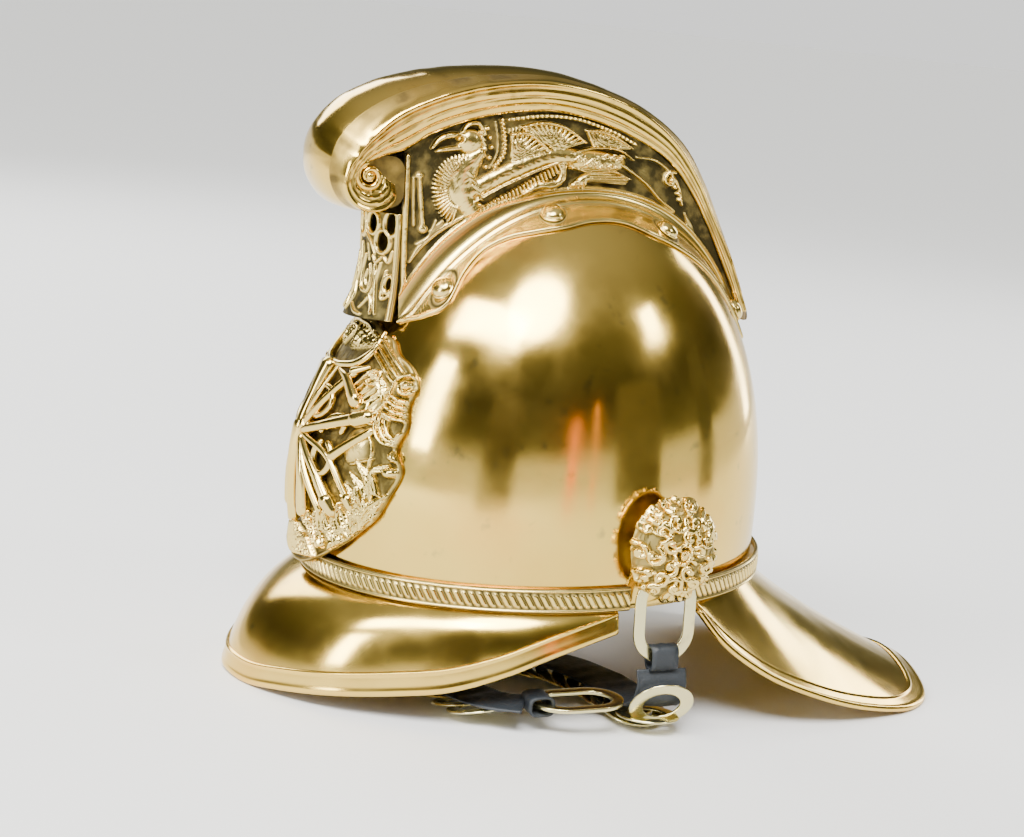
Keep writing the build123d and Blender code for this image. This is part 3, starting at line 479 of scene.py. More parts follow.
def leather(name, light, dark, roughness):
    """Old leather: pores, creases and rubbed patches."""
    material, nodes, links, surface = new_material(name)
    place = nodes.new("ShaderNodeTexCoord").outputs["Object"]
    worn = nodes.new("ShaderNodeTexNoise")
    worn.inputs["Scale"].default_value = 60
    worn.inputs["Detail"].default_value = 8
    pores = nodes.new("ShaderNodeTexVoronoi")
    pores.inputs["Scale"].default_value = 900.0
    creases = nodes.new("ShaderNodeTexNoise")
    creases.inputs["Scale"].default_value = 170
    creases.inputs["Distortion"].default_value = 1.5
    for node in (worn, pores, creases):
        links.new(place, node.inputs["Vector"])
    mix = nodes.new("ShaderNodeMix")
    mix.data_type = "RGBA"
    mix.inputs[6].default_value = (*dark, 1)
    mix.inputs[7].default_value = (*light, 1)
    links.new(worn.outputs["Fac"], mix.inputs["Factor"])
    links.new(mix.outputs[2], surface.inputs["Base Color"])
    worn_rough = ranged(nodes, links, creases.outputs["Fac"], 0, 1, roughness - 0.12, roughness + 0.12)
    links.new(worn_rough, surface.inputs["Roughness"])
    fine = bumped(nodes, links, pores.outputs["Distance"], 0.0002, 0.5)
    broad = bumped(nodes, links, creases.outputs["Fac"], 0.0006, 0.6, fine)
    links.new(broad, surface.inputs["Normal"])
    return material


GOLD = (0.82, 0.55, 0.12)
PALE = (0.82, 0.61, 0.19)
SOOT = (0.012, 0.012, 0.007)
BRASS = shader("polished_brass", GOLD, (0.30, 0.24, 0.10), 0.10, bump=0.03, tarnish=0.55)
PEAK = shader("peak_brass", GOLD, (0.30, 0.24, 0.10), 0.12, bump=0.025, tarnish=0.5)
EDGE = shader("binding_brass", GOLD, (0.30, 0.25, 0.12), 0.16, tarnish=0.3)
CAP = shader("comb_brass", GOLD, (0.07, 0.05, 0.02), 0.14, oxide_and_shade_strength=0.9, tarnish=0.5, relief=True)
EMBOSSED = shader("embossed_brass", PALE, SOOT, 0.22, oxide_and_shade_strength=0.95, tarnish=0.4, relief=True)
BADGE = shader("badge_brass", PALE, (0.05, 0.036, 0.010), 0.15, oxide_and_shade_strength=0.95, tarnish=0.35, relief=True)
BAND = shader("headband_brass", PALE, SOOT, 0.2, oxide_and_shade_strength=0.9, tarnish=0.3, relief=True)
ROSE = shader("rosette_brass", PALE, (0.06, 0.05, 0.02), 0.15, oxide_and_shade_strength=0.8, tarnish=0.3, relief=True)
RIVET = shader("rivet_brass", PALE, (0.25, 0.2, 0.09), 0.15, tarnish=0.3)
CHAIN = shader("chain_brass", (0.76, 0.68, 0.36), (0.22, 0.2, 0.1), 0.2, tarnish=0.4)
STRAP_LEATHER = leather("chain_leather", (0.026, 0.032, 0.038), (0.005, 0.007, 0.010), 0.55)
LINER_LEATHER = leather("liner_leather", (0.33, 0.19, 0.10), (0.15, 0.08, 0.04), 0.6)
CORD = leather("liner_cord", (0.62, 0.55, 0.42), (0.42, 0.36, 0.26), 0.85)

# ---------------------------------------------------------------- skull
ALMOST_TOP = 0.99999                    # the skull's last ring has to keep some width


def make_skull():
    """The raised skull, a closed shell one sheet thick."""
    turns = np.linspace(0, 2 * pi, 241)[:-1]
    rise = np.sin(np.linspace(0, pi / 2, 110) ** 0.9 * (pi / 2) ** 0.1)
    share = np.minimum(rise, ALMOST_TOP)
    outside = np.array([skull_at(turns, np.full(len(turns), SKULL_HEIGHT * r)) for r in share])
    inner_height = SKULL_HEIGHT - SKULL_SHEET
    inner = [skull_at(turns, np.full(len(turns), inner_height * r), -SKULL_SHEET) for r in share[::6]]
    rows = np.concatenate([np.array(inner)[::-1], outside])
    piece("skull", rows.reshape(-1, 3), tube_faces(len(rows), len(turns)), BRASS,
          stands_for=("skull_shell",), slot="polished_brass")


# ---------------------------------------------------------------- headband
BAND_HEIGHT, BAND_INNER, BAND_OUTER = 11.2, 1.7, 3.4
BAND_FRONT_END, BAND_REAR_START, BAND_BOW = 12.0, 48.0, 4.5


def band_strip(name, node, start, end, bow):
    """A gadrooned strip from one turn to another, standing `bow` mm further off the skull."""
    count, across = 1500, 40
    turns = np.linspace(start, end, count)
    run = np.concatenate([[0], np.cumsum(np.linalg.norm(np.diff(skull_at(turns, 0.0), axis=0), axis=1))])
    heights = np.linspace(0, BAND_HEIGHT, across)
    rows = np.stack([skull_at(turns, np.zeros(count), BAND_OUTER + bow) + (0, 0, z) for z in heights], 1)
    across_share = heights / BAND_HEIGHT
    slant = run[:, None] / 3.5 + across_share[None] * 1.7
    lobes = np.abs(np.sin(pi * slant)) ** 1.1
    inside = np.clip((0.5 - np.abs(across_share - 0.5)) / 0.16 - 0.9, 0, 1)[None]
    border = np.exp(-((np.minimum(heights, BAND_HEIGHT - heights) - 1.0) / 0.5) ** 2)[None]
    height = lobes * inside * 0.9 + border * 0.75
    out = skull_normal(skull_at(turns, np.zeros(count)))[:, None]
    front = rows + out * (height - 0.7)[..., None]
    back = rows[:, ::-1][:, ::13] - out * (BAND_OUTER - BAND_INNER)
    loops = np.concatenate([front, back], 1)
    tone = np.concatenate([np.clip(height * 1.1, 0, 1), np.full((count, back.shape[1]), 0.5)], 1)
    piece(name, loops.reshape(-1, 3), tube_faces(count, loops.shape[1]), BAND,
          stands_for=(node,), slot="headband_brass", tone=tone)


def make_headbands():
    """The front and rear strips, with a break at each ear."""
    front = atan2(sqrt(1 - (BAND_FRONT_END / HALF_LENGTH) ** 2) * HALF_WIDTH, BAND_FRONT_END)
    rear = atan2(BAND_REAR_START / HALF_LENGTH, sqrt(1 - (BAND_REAR_START / HALF_LENGTH) ** 2))
    ear = pi / 2 - front
    band_strip("headband_front_strip", "headband_front", pi - ear, 2 * pi + ear, 0.0)
    band_strip("headband_rear_strip", "headband_rear", rear, pi - rear, 1.6)


# ---------------------------------------------------------------- peaks
FRONT_EDGE = [
    (97, 8, -9), (98.5, -22, -18), (95, -47, -28), (88, -69, -35), (78, -90, -38.5),
    (62, -115, -42), (42, -133, -45), (20, -145, -47.5), (0, -149, -47),
]
REAR_EDGE = [
    (92, 50, -2), (95, 62, -17), (95, 84, -33.5), (92, 118, -49), (82, 152, -60),
    (68, 182, -66), (50, 199, -67), (28, 207, -64), (0, 210, -61),
]
BINDING_WIDTH, BINDING_SHEET, NOSE_RADIUS = 8.0, 0.9, 0.95


def peak_surface(half_edge, root, swell, steps):
    """Points of a peak from root to edge, ear to ear; `steps` gives the places down it from its depth."""
    edge = Course(half_edge + [(-x, y, z) for x, y, z in half_edge[-2::-1]])
    along = np.linspace(0, 1, 240)
    half = np.abs(1 - 2 * along)
    turn = np.radians(root[1] + (root[0] - root[1]) * half)
    start = skull_at(turn, np.zeros(len(turn)), 0.85)
    start[:, 2] = -0.6
    start[:, 0] = np.where(along > 0.5, -start[:, 0], start[:, 0])
    end = edge.at(along)
    control = start + (end - start) * (swell[0], swell[0], swell[1])
    depth = np.linalg.norm(end - start, axis=1)
    down = steps(depth)[..., None]
    start, control, end = start[:, None], control[:, None], end[:, None]
    return (1 - down) ** 2 * start + 2 * down * (1 - down) * control + down**2 * end


def make_peak(name, half_edge, root, swell):
    """A polished peak and the strip folded over its edge."""
    down = np.linspace(0, 1, 46)
    rows = peak_surface(half_edge, root, swell, lambda depth: np.tile(down, (len(depth), 1)))
    normal = grid_normals(rows)
    if normal[120, 20, 2] < 0:
        normal = -normal
    front = rows + normal * SHEET / 2
    back = (rows - normal * SHEET / 2)[:, ::-1][:, ::5]
    loops = np.concatenate([front, back], 1)
    piece(name + "_sheet", loops.reshape(-1, 3), tube_faces(len(loops), loops.shape[1]), PEAK,
          stands_for=(name,), slot="polished_brass")

    inner = np.linspace(0, 1, 26)
    rows = peak_surface(
        half_edge, root, swell,
        lambda depth: 1 - np.minimum(BINDING_WIDTH / depth, 0.9)[:, None] * (1 - inner[None])
    )
    normal = grid_normals(rows)
    if normal[120, 10, 2] < 0:
        normal = -normal
    width = inner * BINDING_WIDTH
    bead = 0.55 * np.exp(-((width - 0.8) / 0.55) ** 2) + 0.25 * np.exp(-((width - 7.0) / 0.9) ** 2)
    lift = (SHEET / 2 + 0.25 + BINDING_SHEET * 0.6 + bead)[None, :, None]
    lift = lift * np.clip(width / 0.5, 0.55, 1)[None, :, None]
    top, low = rows + normal * lift, (rows - normal * lift)[:, ::-1]
    out = rows[:, -1] - rows[:, -2]
    out /= np.linalg.norm(out, axis=1, keepdims=True)
    nose = [
        rows[:, -1] + out * NOSE_RADIUS * cos(a) + normal[:, -1] * NOSE_RADIUS * sin(a)
        for a in (0.9, 0.45, 0, -0.45, -0.9)
    ]
    gap = SHEET / 2 + 0.02
    under, over = (rows - normal * gap)[:, ::5], (rows + normal * gap)[:, ::-1][:, ::5]
    loops = np.concatenate([top, np.stack(nose, 1), low, under, over], 1)
    piece(name + "_binding_strip", loops.reshape(-1, 3), tube_faces(len(loops), loops.shape[1]), EDGE,
          stands_for=(name + "_binding",), slot="binding_brass")


# ---------------------------------------------------------------- comb
# Half widths across the comb: (y, riveted flange, upright side).
COMB_WIDTHS = Course([
    (-79.5, 22.6, 21.8), (-72, 32.5, 22), (-61, 39.6, 22), (-52, 34.8, 22), (-43, 32.4, 21.7),
    (-33, 33.6, 21.2), (-20, 37.2, 20.6), (-7, 39.2, 20), (8, 37.4, 19.3), (24, 36.2, 18.2), (38, 37.6, 17),
    (54, 35.5, 15.4), (74, 29, 12.8), (84, 26, 11.8), (96, 22.6, 10.9),
])
SIDE_TOP = Course([
    (-79.7, 198), (-66.5, 207), (-46, 214.2), (-25, 217.9), (-3, 218), (19.7, 212.2),
    (43, 203), (59.4, 191), (74.9, 169.9), (86.5, 147.3), (95.5, 129),
])
COMB_START, COMB_END = -79.0, 96.0
COVE_RISE = Course([(-79, 13), (-60, 13), (-40, 10.5), (-20, 6.5), (0, 5.0), (30, 5.2), (60, 6.5), (96, 6.5)])
COMB_RIVETS = [(33.0, -61.0), (30.5, -9.0), (28.5, 49.0), (17.5, 91.5)]


def comb_rows(count, across):
    """Points of the left side: out on the flange, up the cove, up the side; with their arc lengths."""
    y = np.linspace(COMB_START, COMB_END, count)
    _, flange, upright = COMB_WIDTHS.over(y).T
    flange = np.maximum(flange, upright + 1.2)
    knee = upright + np.minimum(5.0, 0.6 * (flange - upright))
    share = np.linspace(0, 1, 24)[None]
    x = flange[:, None] + (knee - flange)[:, None] * share
    foot = skull_above(x, np.repeat(y[:, None], 24, 1))
    flange_part = foot + skull_normal(foot) * (GAP + 0.9)
    flange_part[..., 1] = y[:, None]
    root = skull_above(upright, y)[:, 2] + COVE_RISE.over(y)[:, 1]
    corner = flange_part[:, -1]
    t = np.linspace(0, 1, 12)[None, 1:, None]
    end = np.stack([upright, y, root], 1)[:, None]
    control = np.stack([upright + 0.4, y, corner[:, 2] + 1.2], 1)[:, None]
    cove = (1 - t) ** 2 * corner[:, None] + 2 * t * (1 - t) * control + t**2 * end
    top = np.maximum(SIDE_TOP.over(y)[:, 1] + 0.5, root + 2.0)
    rise = root[:, None] + (top - root)[:, None] * np.linspace(0, 1, 40)[None, 1:]
    side = np.stack([np.repeat(upright[:, None], 39, 1), np.repeat(y[:, None], 39, 1), rise], -1)
    rows = np.concatenate([flange_part, cove, side], 1)
    steps = np.linalg.norm(np.diff(rows, axis=1), axis=2)
    arcs = np.concatenate([np.zeros((count, 1)), np.cumsum(steps, axis=1)], 1)
    places = np.linspace(0, 1, across)
    out, arc = np.empty((count, across, 3)), arcs[:, -1:] * places[None]
    for i in range(count):
        for k in range(3):
            out[i, :, k] = np.interp(arc[i], arcs[i], rows[i, :, k])
    return out, arc, arcs[:, 23], arcs[:, 34], root


def draw_beast(relief):
    """A winged beast of a general kind, walking towards the front, drawn in (y, z)."""
    stroke, blob = relief.stroke, relief.blob
    # framing posts and the ribbon that runs up behind the cove
    stroke([(-77.3, 126), (-77.6, 150), (-77.8, 197)], 3.0, 2.0)
    stroke([(-74.6, 187), (-74.2, 176), (-73.6, 166)], 2.0, 1.2)
    stroke([(-71.8, 188), (-70.6, 176), (-69.4, 165)], 2.8, 1.7, (0.8, 1.0))
    blob((-69.2, 164), (2.6, 2.2), 2.0)
    blob((-71.8, 188.4), (2.4, 1.6), 1.6)
    for step in np.linspace(0, 1, 12):
        stroke([(-66 + 6 * step, 163 + 5 * step), (-64.5 + 6 * step, 160.5 + 5.4 * step)], 1.0, 1.1)
    stroke([(-75, 149), (-70, 156), (-62, 163), (-50, 170)], 3.2, 1.3, (0.5, 0.6))
    stroke([(-72, 157), (-67, 160), (-63, 168)], 1.4, 1.2)
    # head with an open beak, a crest and a round eye
    blob((-48.5, 204), (6.6, 6.0), 3.4)
    stroke([(-50, 206), (-58, 207), (-64, 204.5), (-67, 201)], 3.4, 2.6, (1.0, 0.45))
    stroke([(-51, 201.5), (-58, 200.8), (-64.5, 199.6)], 2.8, 2.2, (1.0, 0.4))
    stroke([(-53, 208.5), (-50, 212), (-45, 212.5), (-41.5, 208)], 2.6, 2.6, (0.4, 0.7))
    blob((-54.3, 205.6), (2.2, 2.0), 2.6, carve=True)
    blob((-54.3, 205.6), (1.2, 1.2), 3.0)
    for k in range(4):
        stroke([(-44.5 + k * 0.9, 209 - 2.2 * k), (-42.4 + k * 0.4, 207.4 - 2.2 * k)], 1.1, 3.0)
    # neck, chest and the fringed mane round it
    stroke([(-44, 199), (-48, 194), (-51, 187), (-50, 179), (-46, 173)], 13.0, 3.0, (0.6, 0.8), power=0.7)
    blob((-51, 182), (8.2, 9.5), 2.8, power=0.7)
    for angle in np.linspace(radians(62), radians(252), 27):
        inner = (-51.5 + 7.2 * cos(angle), 182.5 + 8.6 * sin(angle))
        outer = (-51.5 + 14.2 * cos(angle), 182.5 + 16.0 * sin(angle))
        stroke([inner, outer], 1.5, 2.3, (1.0, 0.35))
    for k in range(6):
        stroke([(-50 + k * 1.4, 191 - k * 3.0), (-46.5 + k * 1.2, 188 - k * 2.6)], 1.0, 3.6, (1, 0.3))
    # body and the ribbed belly
    stroke([(-50, 180), (-38, 186), (-24, 192.5), (-8, 198), (6, 198)], 10.0, 3.0, (0.9, 0.8), power=0.6)
    stroke([(-46, 177), (-32, 184.4), (-18, 190.5), (-5, 195.5)], 1.2, 3.3)
    for step in np.linspace(0, 1, 25):
        at = np.array([-45.5 + 41 * step, 172.5 + 22.5 * step - 3.0 * step * (1 - step)])
        stroke([at, at + (1.6, -3.4)], 1.35, 2.4, (1, 0.6))
    # wings
    for root, rim, count, height in (
        ((-27.5, 196), [(-28.5, 208), (-20, 208.5), (-14, 204.5), (-9, 200.5)], 9, 2.2),
        ((-6, 201.5), [(-24, 211.5), (-14, 213.5), (-2, 211.5), (8.5, 205)], 13, 2.6),
        ((14, 202.5), [(9, 210.5), (17, 210), (25, 207), (33, 202.5)], 11, 2.0),
    ):
        rim_line = Course(rim)
        stroke(rim, 2.0, height + 0.7, (0.6, 0.5))
        for tip in rim_line.at(np.linspace(0.02, 0.98, count)):
            stroke([root, tip], 2.1, height, (0.5, 0.85), power=0.7)
            stroke([root, tip], 0.5, 0.5, (1, 1), carve=True)
    for tip in Course([(-30, 208.5), (-22, 209.8), (-15, 206.5)]).at(np.linspace(0, 1, 10)):
        stroke([tip, tip + (0.8, 2.2)], 0.8, 1.6, (1, 0.3))
    # haunch with curled hair, and the legs
    blob((14, 196), (17, 5.6), 3.0, turn=-0.05, power=0.6)
    for k in range(26):
        at = np.array([1.5 + 26 * ((k * 0.37) % 1), 192.8 + 6.4 * ((k * 0.61) % 1)])
        stroke([at, at + (1.2, 0.9), at + (2.0, -0.3)], 0.8, 3.6)
    stroke([(1, 200), (14, 202.6), (27, 201.3), (34, 197)], 1.5, 3.0, (0.6, 0.4))
    stroke([(2, 193.5), (12, 191.4), (24, 191.6), (33, 188)], 1.6, 2.6, (0.5, 0.6))
    stroke([(-2, 194.5), (-2.5, 188), (-6, 185.2), (-14, 184.6), (-20, 182)], 4.6, 2.7, (1.0, 0.7))
    for k in range(4):
        stroke([(-17 - k * 1.0, 183.8 - k * 0.5), (-18.6 - k * 1.1, 181.2 - k * 0.35)], 1.3, 3.0, (1, 0.4))
    stroke([(-13, 185.8), (-6, 187)], 0.8, 3.1)
    stroke([(30, 187.4), (20, 188.6), (9, 188.2), (3.5, 185)], 5.2, 2.6, (0.9, 0.7))
    for k in range(5):
        stroke([(31.5, 185.2 + k * 1.15), (12, 185.6 + k * 1.1)], 0.65, 0.7, carve=True)
    for k in range(4):
        stroke([(4.2 + k * 1.7, 187.0), (3.4 + k * 1.8, 183.8)], 1.3, 3.2, (1, 0.5))
    # tail
    stroke([(26, 196), (34, 191.5), (42, 186), (50, 178.5), (58, 173)], 2.0, 1.9, (1.2, 0.6))
    stroke([(36, 198.5), (46, 197), (54, 192), (60, 184), (62, 176)], 1.8, 1.6, (0.5, 0.8))
    relief.scroll((55, 188), 4.0, 1.0, 1.1, 2.0, 2.2)
    for at in ((57.5, 184.5), (59.5, 181.5), (60.8, 178.5)):
        blob(at, (1.5, 1.3), 2.2)
    stroke([(46, 176), (52, 172), (60, 164), (68, 154)], 1.6, 1.0, (0.5, 0.4))
    stroke([(64, 172), (68, 165), (72, 157)], 3.0, 1.2, (0.3, 0.3))
    # pearl row and twisted bands
    for y, z in ((-40.4, 210.5), (-39.2, 206.3), (-38.2, 202), (-39.0, 197.2), (-40.6, 193), (-41.6, 198.4)):
        blob((y, z), (1.35, 1.35), 2.2)
    stroke([(-33.5, 214.5), (-31.8, 206), (-32, 199), (-36, 193.2)], 2.6, 2.6, wave=0.25, pitch=1.9)
    stroke([(-36.5, 213.5), (-35.0, 205), (-35.2, 199), (-38.6, 192.4)], 0.9, 1.4)
    stroke([(-30, 214.6), (-14, 216.6), (4, 215.6), (20, 211.2), (36, 204)], 2.0, 1.7, wave=0.3, pitch=2.4)


def make_comb_sides():
    count, across = 400, 205
    rows, arc, knee_arc, root_arc, _ = comb_rows(count, across)
    y, z = rows[..., 1], rows[..., 2]
    relief = Relief(y, z)
    draw_beast(relief)
    past_root = np.clip((arc - root_arc[:, None]) / 2.5, 0, 1)
    near_top = np.clip((arc[:, -1:] - arc) / 1.0, 0, 1)
    height = relief.height * 1.3 * past_root * near_top
    height += smooth_noise(y.shape, (130, 70), 3) * 0.10 * past_root
    rim = np.exp(-((arc - 1.0) / 0.7) ** 2) * 0.75
    beads = np.exp(-((arc - knee_arc[:, None]) / 0.9) ** 2) * 0.9
    beads = np.maximum(beads, np.exp(-((arc - root_arc[:, None]) / 1.1) ** 2) * 1.2)
    beads += np.exp(-((arc - knee_arc[:, None] + 2.2) / 0.45) ** 2) * 0.35
    below = knee_arc[:, None] - arc
    window = np.clip((below - 2.6) / 0.6, 0, 1) * np.clip((8.0 - below) / 3.0, 0, 1)
    window = window * np.clip(arc - 2, 0, 1)
    hatch = np.abs(np.sin(pi * (y + 0.25 * z) / 0.95)) * window * 0.12
    height = height + rim + beads + hatch
    normal = grid_normals(rows)
    if normal[200, 180, 0] < 0:
        normal = -normal
    front = rows + normal * height[..., None]
    picks = np.linspace(across - 1, 0, 24).round().astype(int)
    back = (rows - normal * 0.9)[:, picks]
    loops = np.concatenate([front, back], 1)
    ground = np.where(past_root > 0.5, np.clip(height / 2.8, 0, 1), 0.85 - 3.5 * hatch)
    # tone goes darker along a line in the cove just above the knee bead, and in a ring round the foot of each
    # rivet head: painted shadow under the rivets
    crease_line_and_rivet_shadow = np.exp(-((np.abs(arc - knee_arc[:, None] - 1.6) - 0.2) / 0.5) ** 2)
    for rivet_x, rivet_y in COMB_RIVETS:
        distance = np.hypot(rows[..., 0] - rivet_x, y - rivet_y)
        crease_line_and_rivet_shadow = np.maximum(crease_line_and_rivet_shadow, np.exp(-((distance - 5.6) / 1.0) ** 2))
    ground = ground * (1 - 0.9 * crease_line_and_rivet_shadow)
    tone = np.concatenate([ground, np.full((count, len(picks)), 0.2)], 1)
    piece_pair(("comb_side_left_relief", "comb_side_left"), ("comb_side_right_relief", "comb_side_right"),
               loops.reshape(-1, 3), tube_faces(count, loops.shape[1]), EMBOSSED, "embossed_brass", tone)


# The cap at matching stations from its front lip to its tail: the middle of its back (y, z), the
# outer bead (x, y, z), and the lower edge of its side moulding (x, y, z).
CAP_STATIONS = [
    ((-84.5, 186), (24.6, -84.5, 184), (24.0, -90.6, 188.6)),
    ((-84.6, 177), (25.6, -84.0, 178), (25.6, -91.4, 185.6)),
    ((-90, 171.6), (26.6, -88, 174), (26.4, -93.6, 183.6)),
    ((-99, 170.8), (28, -95, 172.5), (26.6, -96.6, 183.2)),
    ((-109, 174.2), (29.5, -104.5, 176.5), (27, -99.6, 184.8)),
    ((-116.6, 184), (30, -108.5, 184.5), (27, -101, 188)),
    ((-119, 195), (30, -106.8, 191.5), (27, -99.8, 191)),
    ((-116, 207.7), (30, -102.4, 198.5), (27, -96.5, 194.3)),
    ((-108, 217.8), (30, -96, 206), (26, -90, 197)),
    ((-93, 227), (30, -86.5, 214.5), (24.6, -80.5, 199.6)),
    ((-75.6, 232.8), (29.5, -69.5, 222.8), (23.8, -66.5, 207.4)),
    ((-56.7, 236.2), (29, -53, 228), (23.3, -51, 213)),
    ((-37.5, 237.8), (28, -36, 231), (22.9, -34, 217)),
    ((-8, 237), (26, -10, 231.7), (21.6, -9, 218.7)),
    ((19.2, 230.7), (23, 15, 227.4), (19.9, 13, 214.9)),
    ((41.2, 222.2), (20.5, 34, 220.5), (18.5, 32, 208.2)),
    ((66.4, 204.2), (17.8, 57, 204.5), (16.3, 54, 196.3)),
    ((78.9, 185.5), (16, 70, 188), (14.6, 67, 181.8)),
    ((88, 166.4), (14.8, 79.5, 171), (13.5, 76, 168)),
    ((96.7, 147), (13.6, 90, 153), (12.9, 85.5, 150)),
    ((103.8, 127.3), (12.8, 98.3, 134), (12.4, 94, 132.6)),
    ((107, 118), (12.4, 102, 124.5), (12.2, 97.8, 123.5)),
]
CAP_CROWN_POWER = 2.3
SCROLL_EYE = (26.6, -96.6, 188.0)


def make_cap():
    """The cap's roll, with the ridged moulding down each side, wound into the scroll at the front."""
    station = np.linspace(0, len(CAP_STATIONS) - 1, 560)

    def course(points):
        curve = Course(points)
        return curve.at(np.interp(station, range(len(points)), curve.knots))[:, None]

    back = course([(0, *b) for b, _, _ in CAP_STATIONS])
    bead = course([b for _, b, _ in CAP_STATIONS])
    lower = course([c for _, _, c in CAP_STATIONS])
    side_share = np.linspace(0, 1, 34)[None, :, None]
    # the side moulding bulges a little between its bead and its lower edge
    side = lower + (bead - lower) * side_share
    side = side + np.sin(pi * side_share) * np.array([0.9, 0, 0])
    across = np.linspace(1, 0, 22)[None, 1:, None]
    crown = 1 - across**CAP_CROWN_POWER
    roll = bead * (across * (1, 0, 0) + (0, 1, 1)) + (back - bead) * (0, 1, 1) * crown
    left = np.concatenate([side, roll], 1)
    rows = np.concatenate([left, flipped(left[:, :-1][:, ::-1])], 1)
    share = side_share[0, :, 0]
    ridges = 0.55 * np.abs(np.sin(pi * (share * 3.6 + 0.1))) ** 0.8
    ridges = ridges + 0.5 * np.exp(-((share - 0.97) / 0.06) ** 2)
    ridges = ridges * np.clip(share / 0.05, 0.3, 1)
    profile = np.concatenate([ridges, 0.35 * np.exp(-(np.arange(21) / 1.2) ** 2)])
    profile = np.concatenate([profile, profile[:-1][::-1]])
    depth = np.linalg.norm(bead - lower, axis=2)
    size = np.clip(depth / 14.0, 0.35, 1.0)
    height = profile[None] * size
    height = height + smooth_noise(rows.shape[:2], (60, 8), 5) * 0.16
    normal = grid_normals(rows)
    if normal[300, 54, 2] < 0:
        normal = -normal
    front = rows + normal * height[..., None]
    picks = np.linspace(rows.shape[1] - 1, 0, 20).round().astype(int)
    inside = (rows - normal * 0.9)[:, picks]
    loops = np.concatenate([front, inside], 1)
    tone = np.concatenate([np.clip(0.25 + height * 1.3, 0, 1), np.full((len(loops), 20), 0.2)], 1)
    tone[:, 40:rows.shape[1] - 40] = 1.0
    piece("comb_cap_moulded", loops.reshape(-1, 3), tube_faces(len(loops), loops.shape[1]), CAP,
          stands_for=("comb_cap",), slot="comb_brass", tone=tone)


def make_scroll_eyes():
    """The inner turn of the volute on each side: a tapering curl that ends in a ball."""
    x, y, z = SCROLL_EYE
    curls = []
    for start, radius, thick, turns in ((1.9, 6.4, 1.9, 1.25), (0.4, 3.4, 1.1, 0.9)):
        angle = np.linspace(0, turns * 2 * pi, 60)
        reach = radius * (1 - 0.62 * angle / angle[-1])
        line = np.stack([
            np.full(60, x + 0.6) + 0.8 * angle / angle[-1],
            y + reach * np.cos(start + angle),
            z + reach * np.sin(start + angle),
        ], 1)
        curls.append(rod_mesh(line, np.linspace(thick, thick * 0.55, 60), 12))
    ball = [(2.6, 0), (2.6, 2.2), (2.3, 3.2), (1.6, 4.1), (0.6, 4.6), (0.05, 4.7)]
    curls.append(lathe_mesh((x - 2, y, z), (1, 0, 0), ball, 20))
    points, faces = both_sides_meshes(*joined(curls))
    piece("comb_scroll_eyes", points, faces, CAP, stands_for=("comb_scroll_bosses",), slot="comb_brass",
          tone=np.full(len(points), 0.8))


def make_comb_rivets():
    """Domed rivets, each a little different, on a low collar."""
    heads = []
    for x, y in COMB_RIVETS:
        foot = skull_above(x, y)
        out = skull_normal(foot)
        base = foot + out * (GAP + 1.3)
        size = 1 + rng.uniform(-0.03, 0.03)
        collar = [(5.8, -0.6), (5.8, 0.3), (5.6, 0.5), (5.25, 0.52)]
        dome = [(5.15 * size * cos(a), 0.6 + 3.0 * sin(a)) for a in np.linspace(0.05, 1.5, 12)]
        heads.append(lathe_mesh(base, out, collar + dome, 40))
    points, faces = both_sides_meshes(*joined(heads))
    piece("comb_rivet_heads", points, faces, RIVET, stands_for=("comb_rivets",), slot="rivet_brass")


# ---------------------------------------------------------------- front fret
FRET_LOW, FRET_HIGH = 121.5, 170.4
FRET_EDGE = Course([(-82.4, 121.5), (-80.6, 135), (-79.6, 149), (-79.0, 170.4)])
FRET_MIDDLE = Course([(-98.5, 121.5), (-92.6, 136), (-90.4, 149), (-90.0, 170.4)])
FRET_HALF_WIDTH = Course([(24.4, 121.5), (22.6, 149), (21.9, 170.4)])
FRET_HOLES = [
    (14.5, 157.0, 2.6, 4.2), (8.6, 165, 2.6, 4.0), (18.2, 165.6, 2.0, 4.6),
    (20.0, 138, 0.9, 2.8), (0, 163, 2.2, 3.6),
]


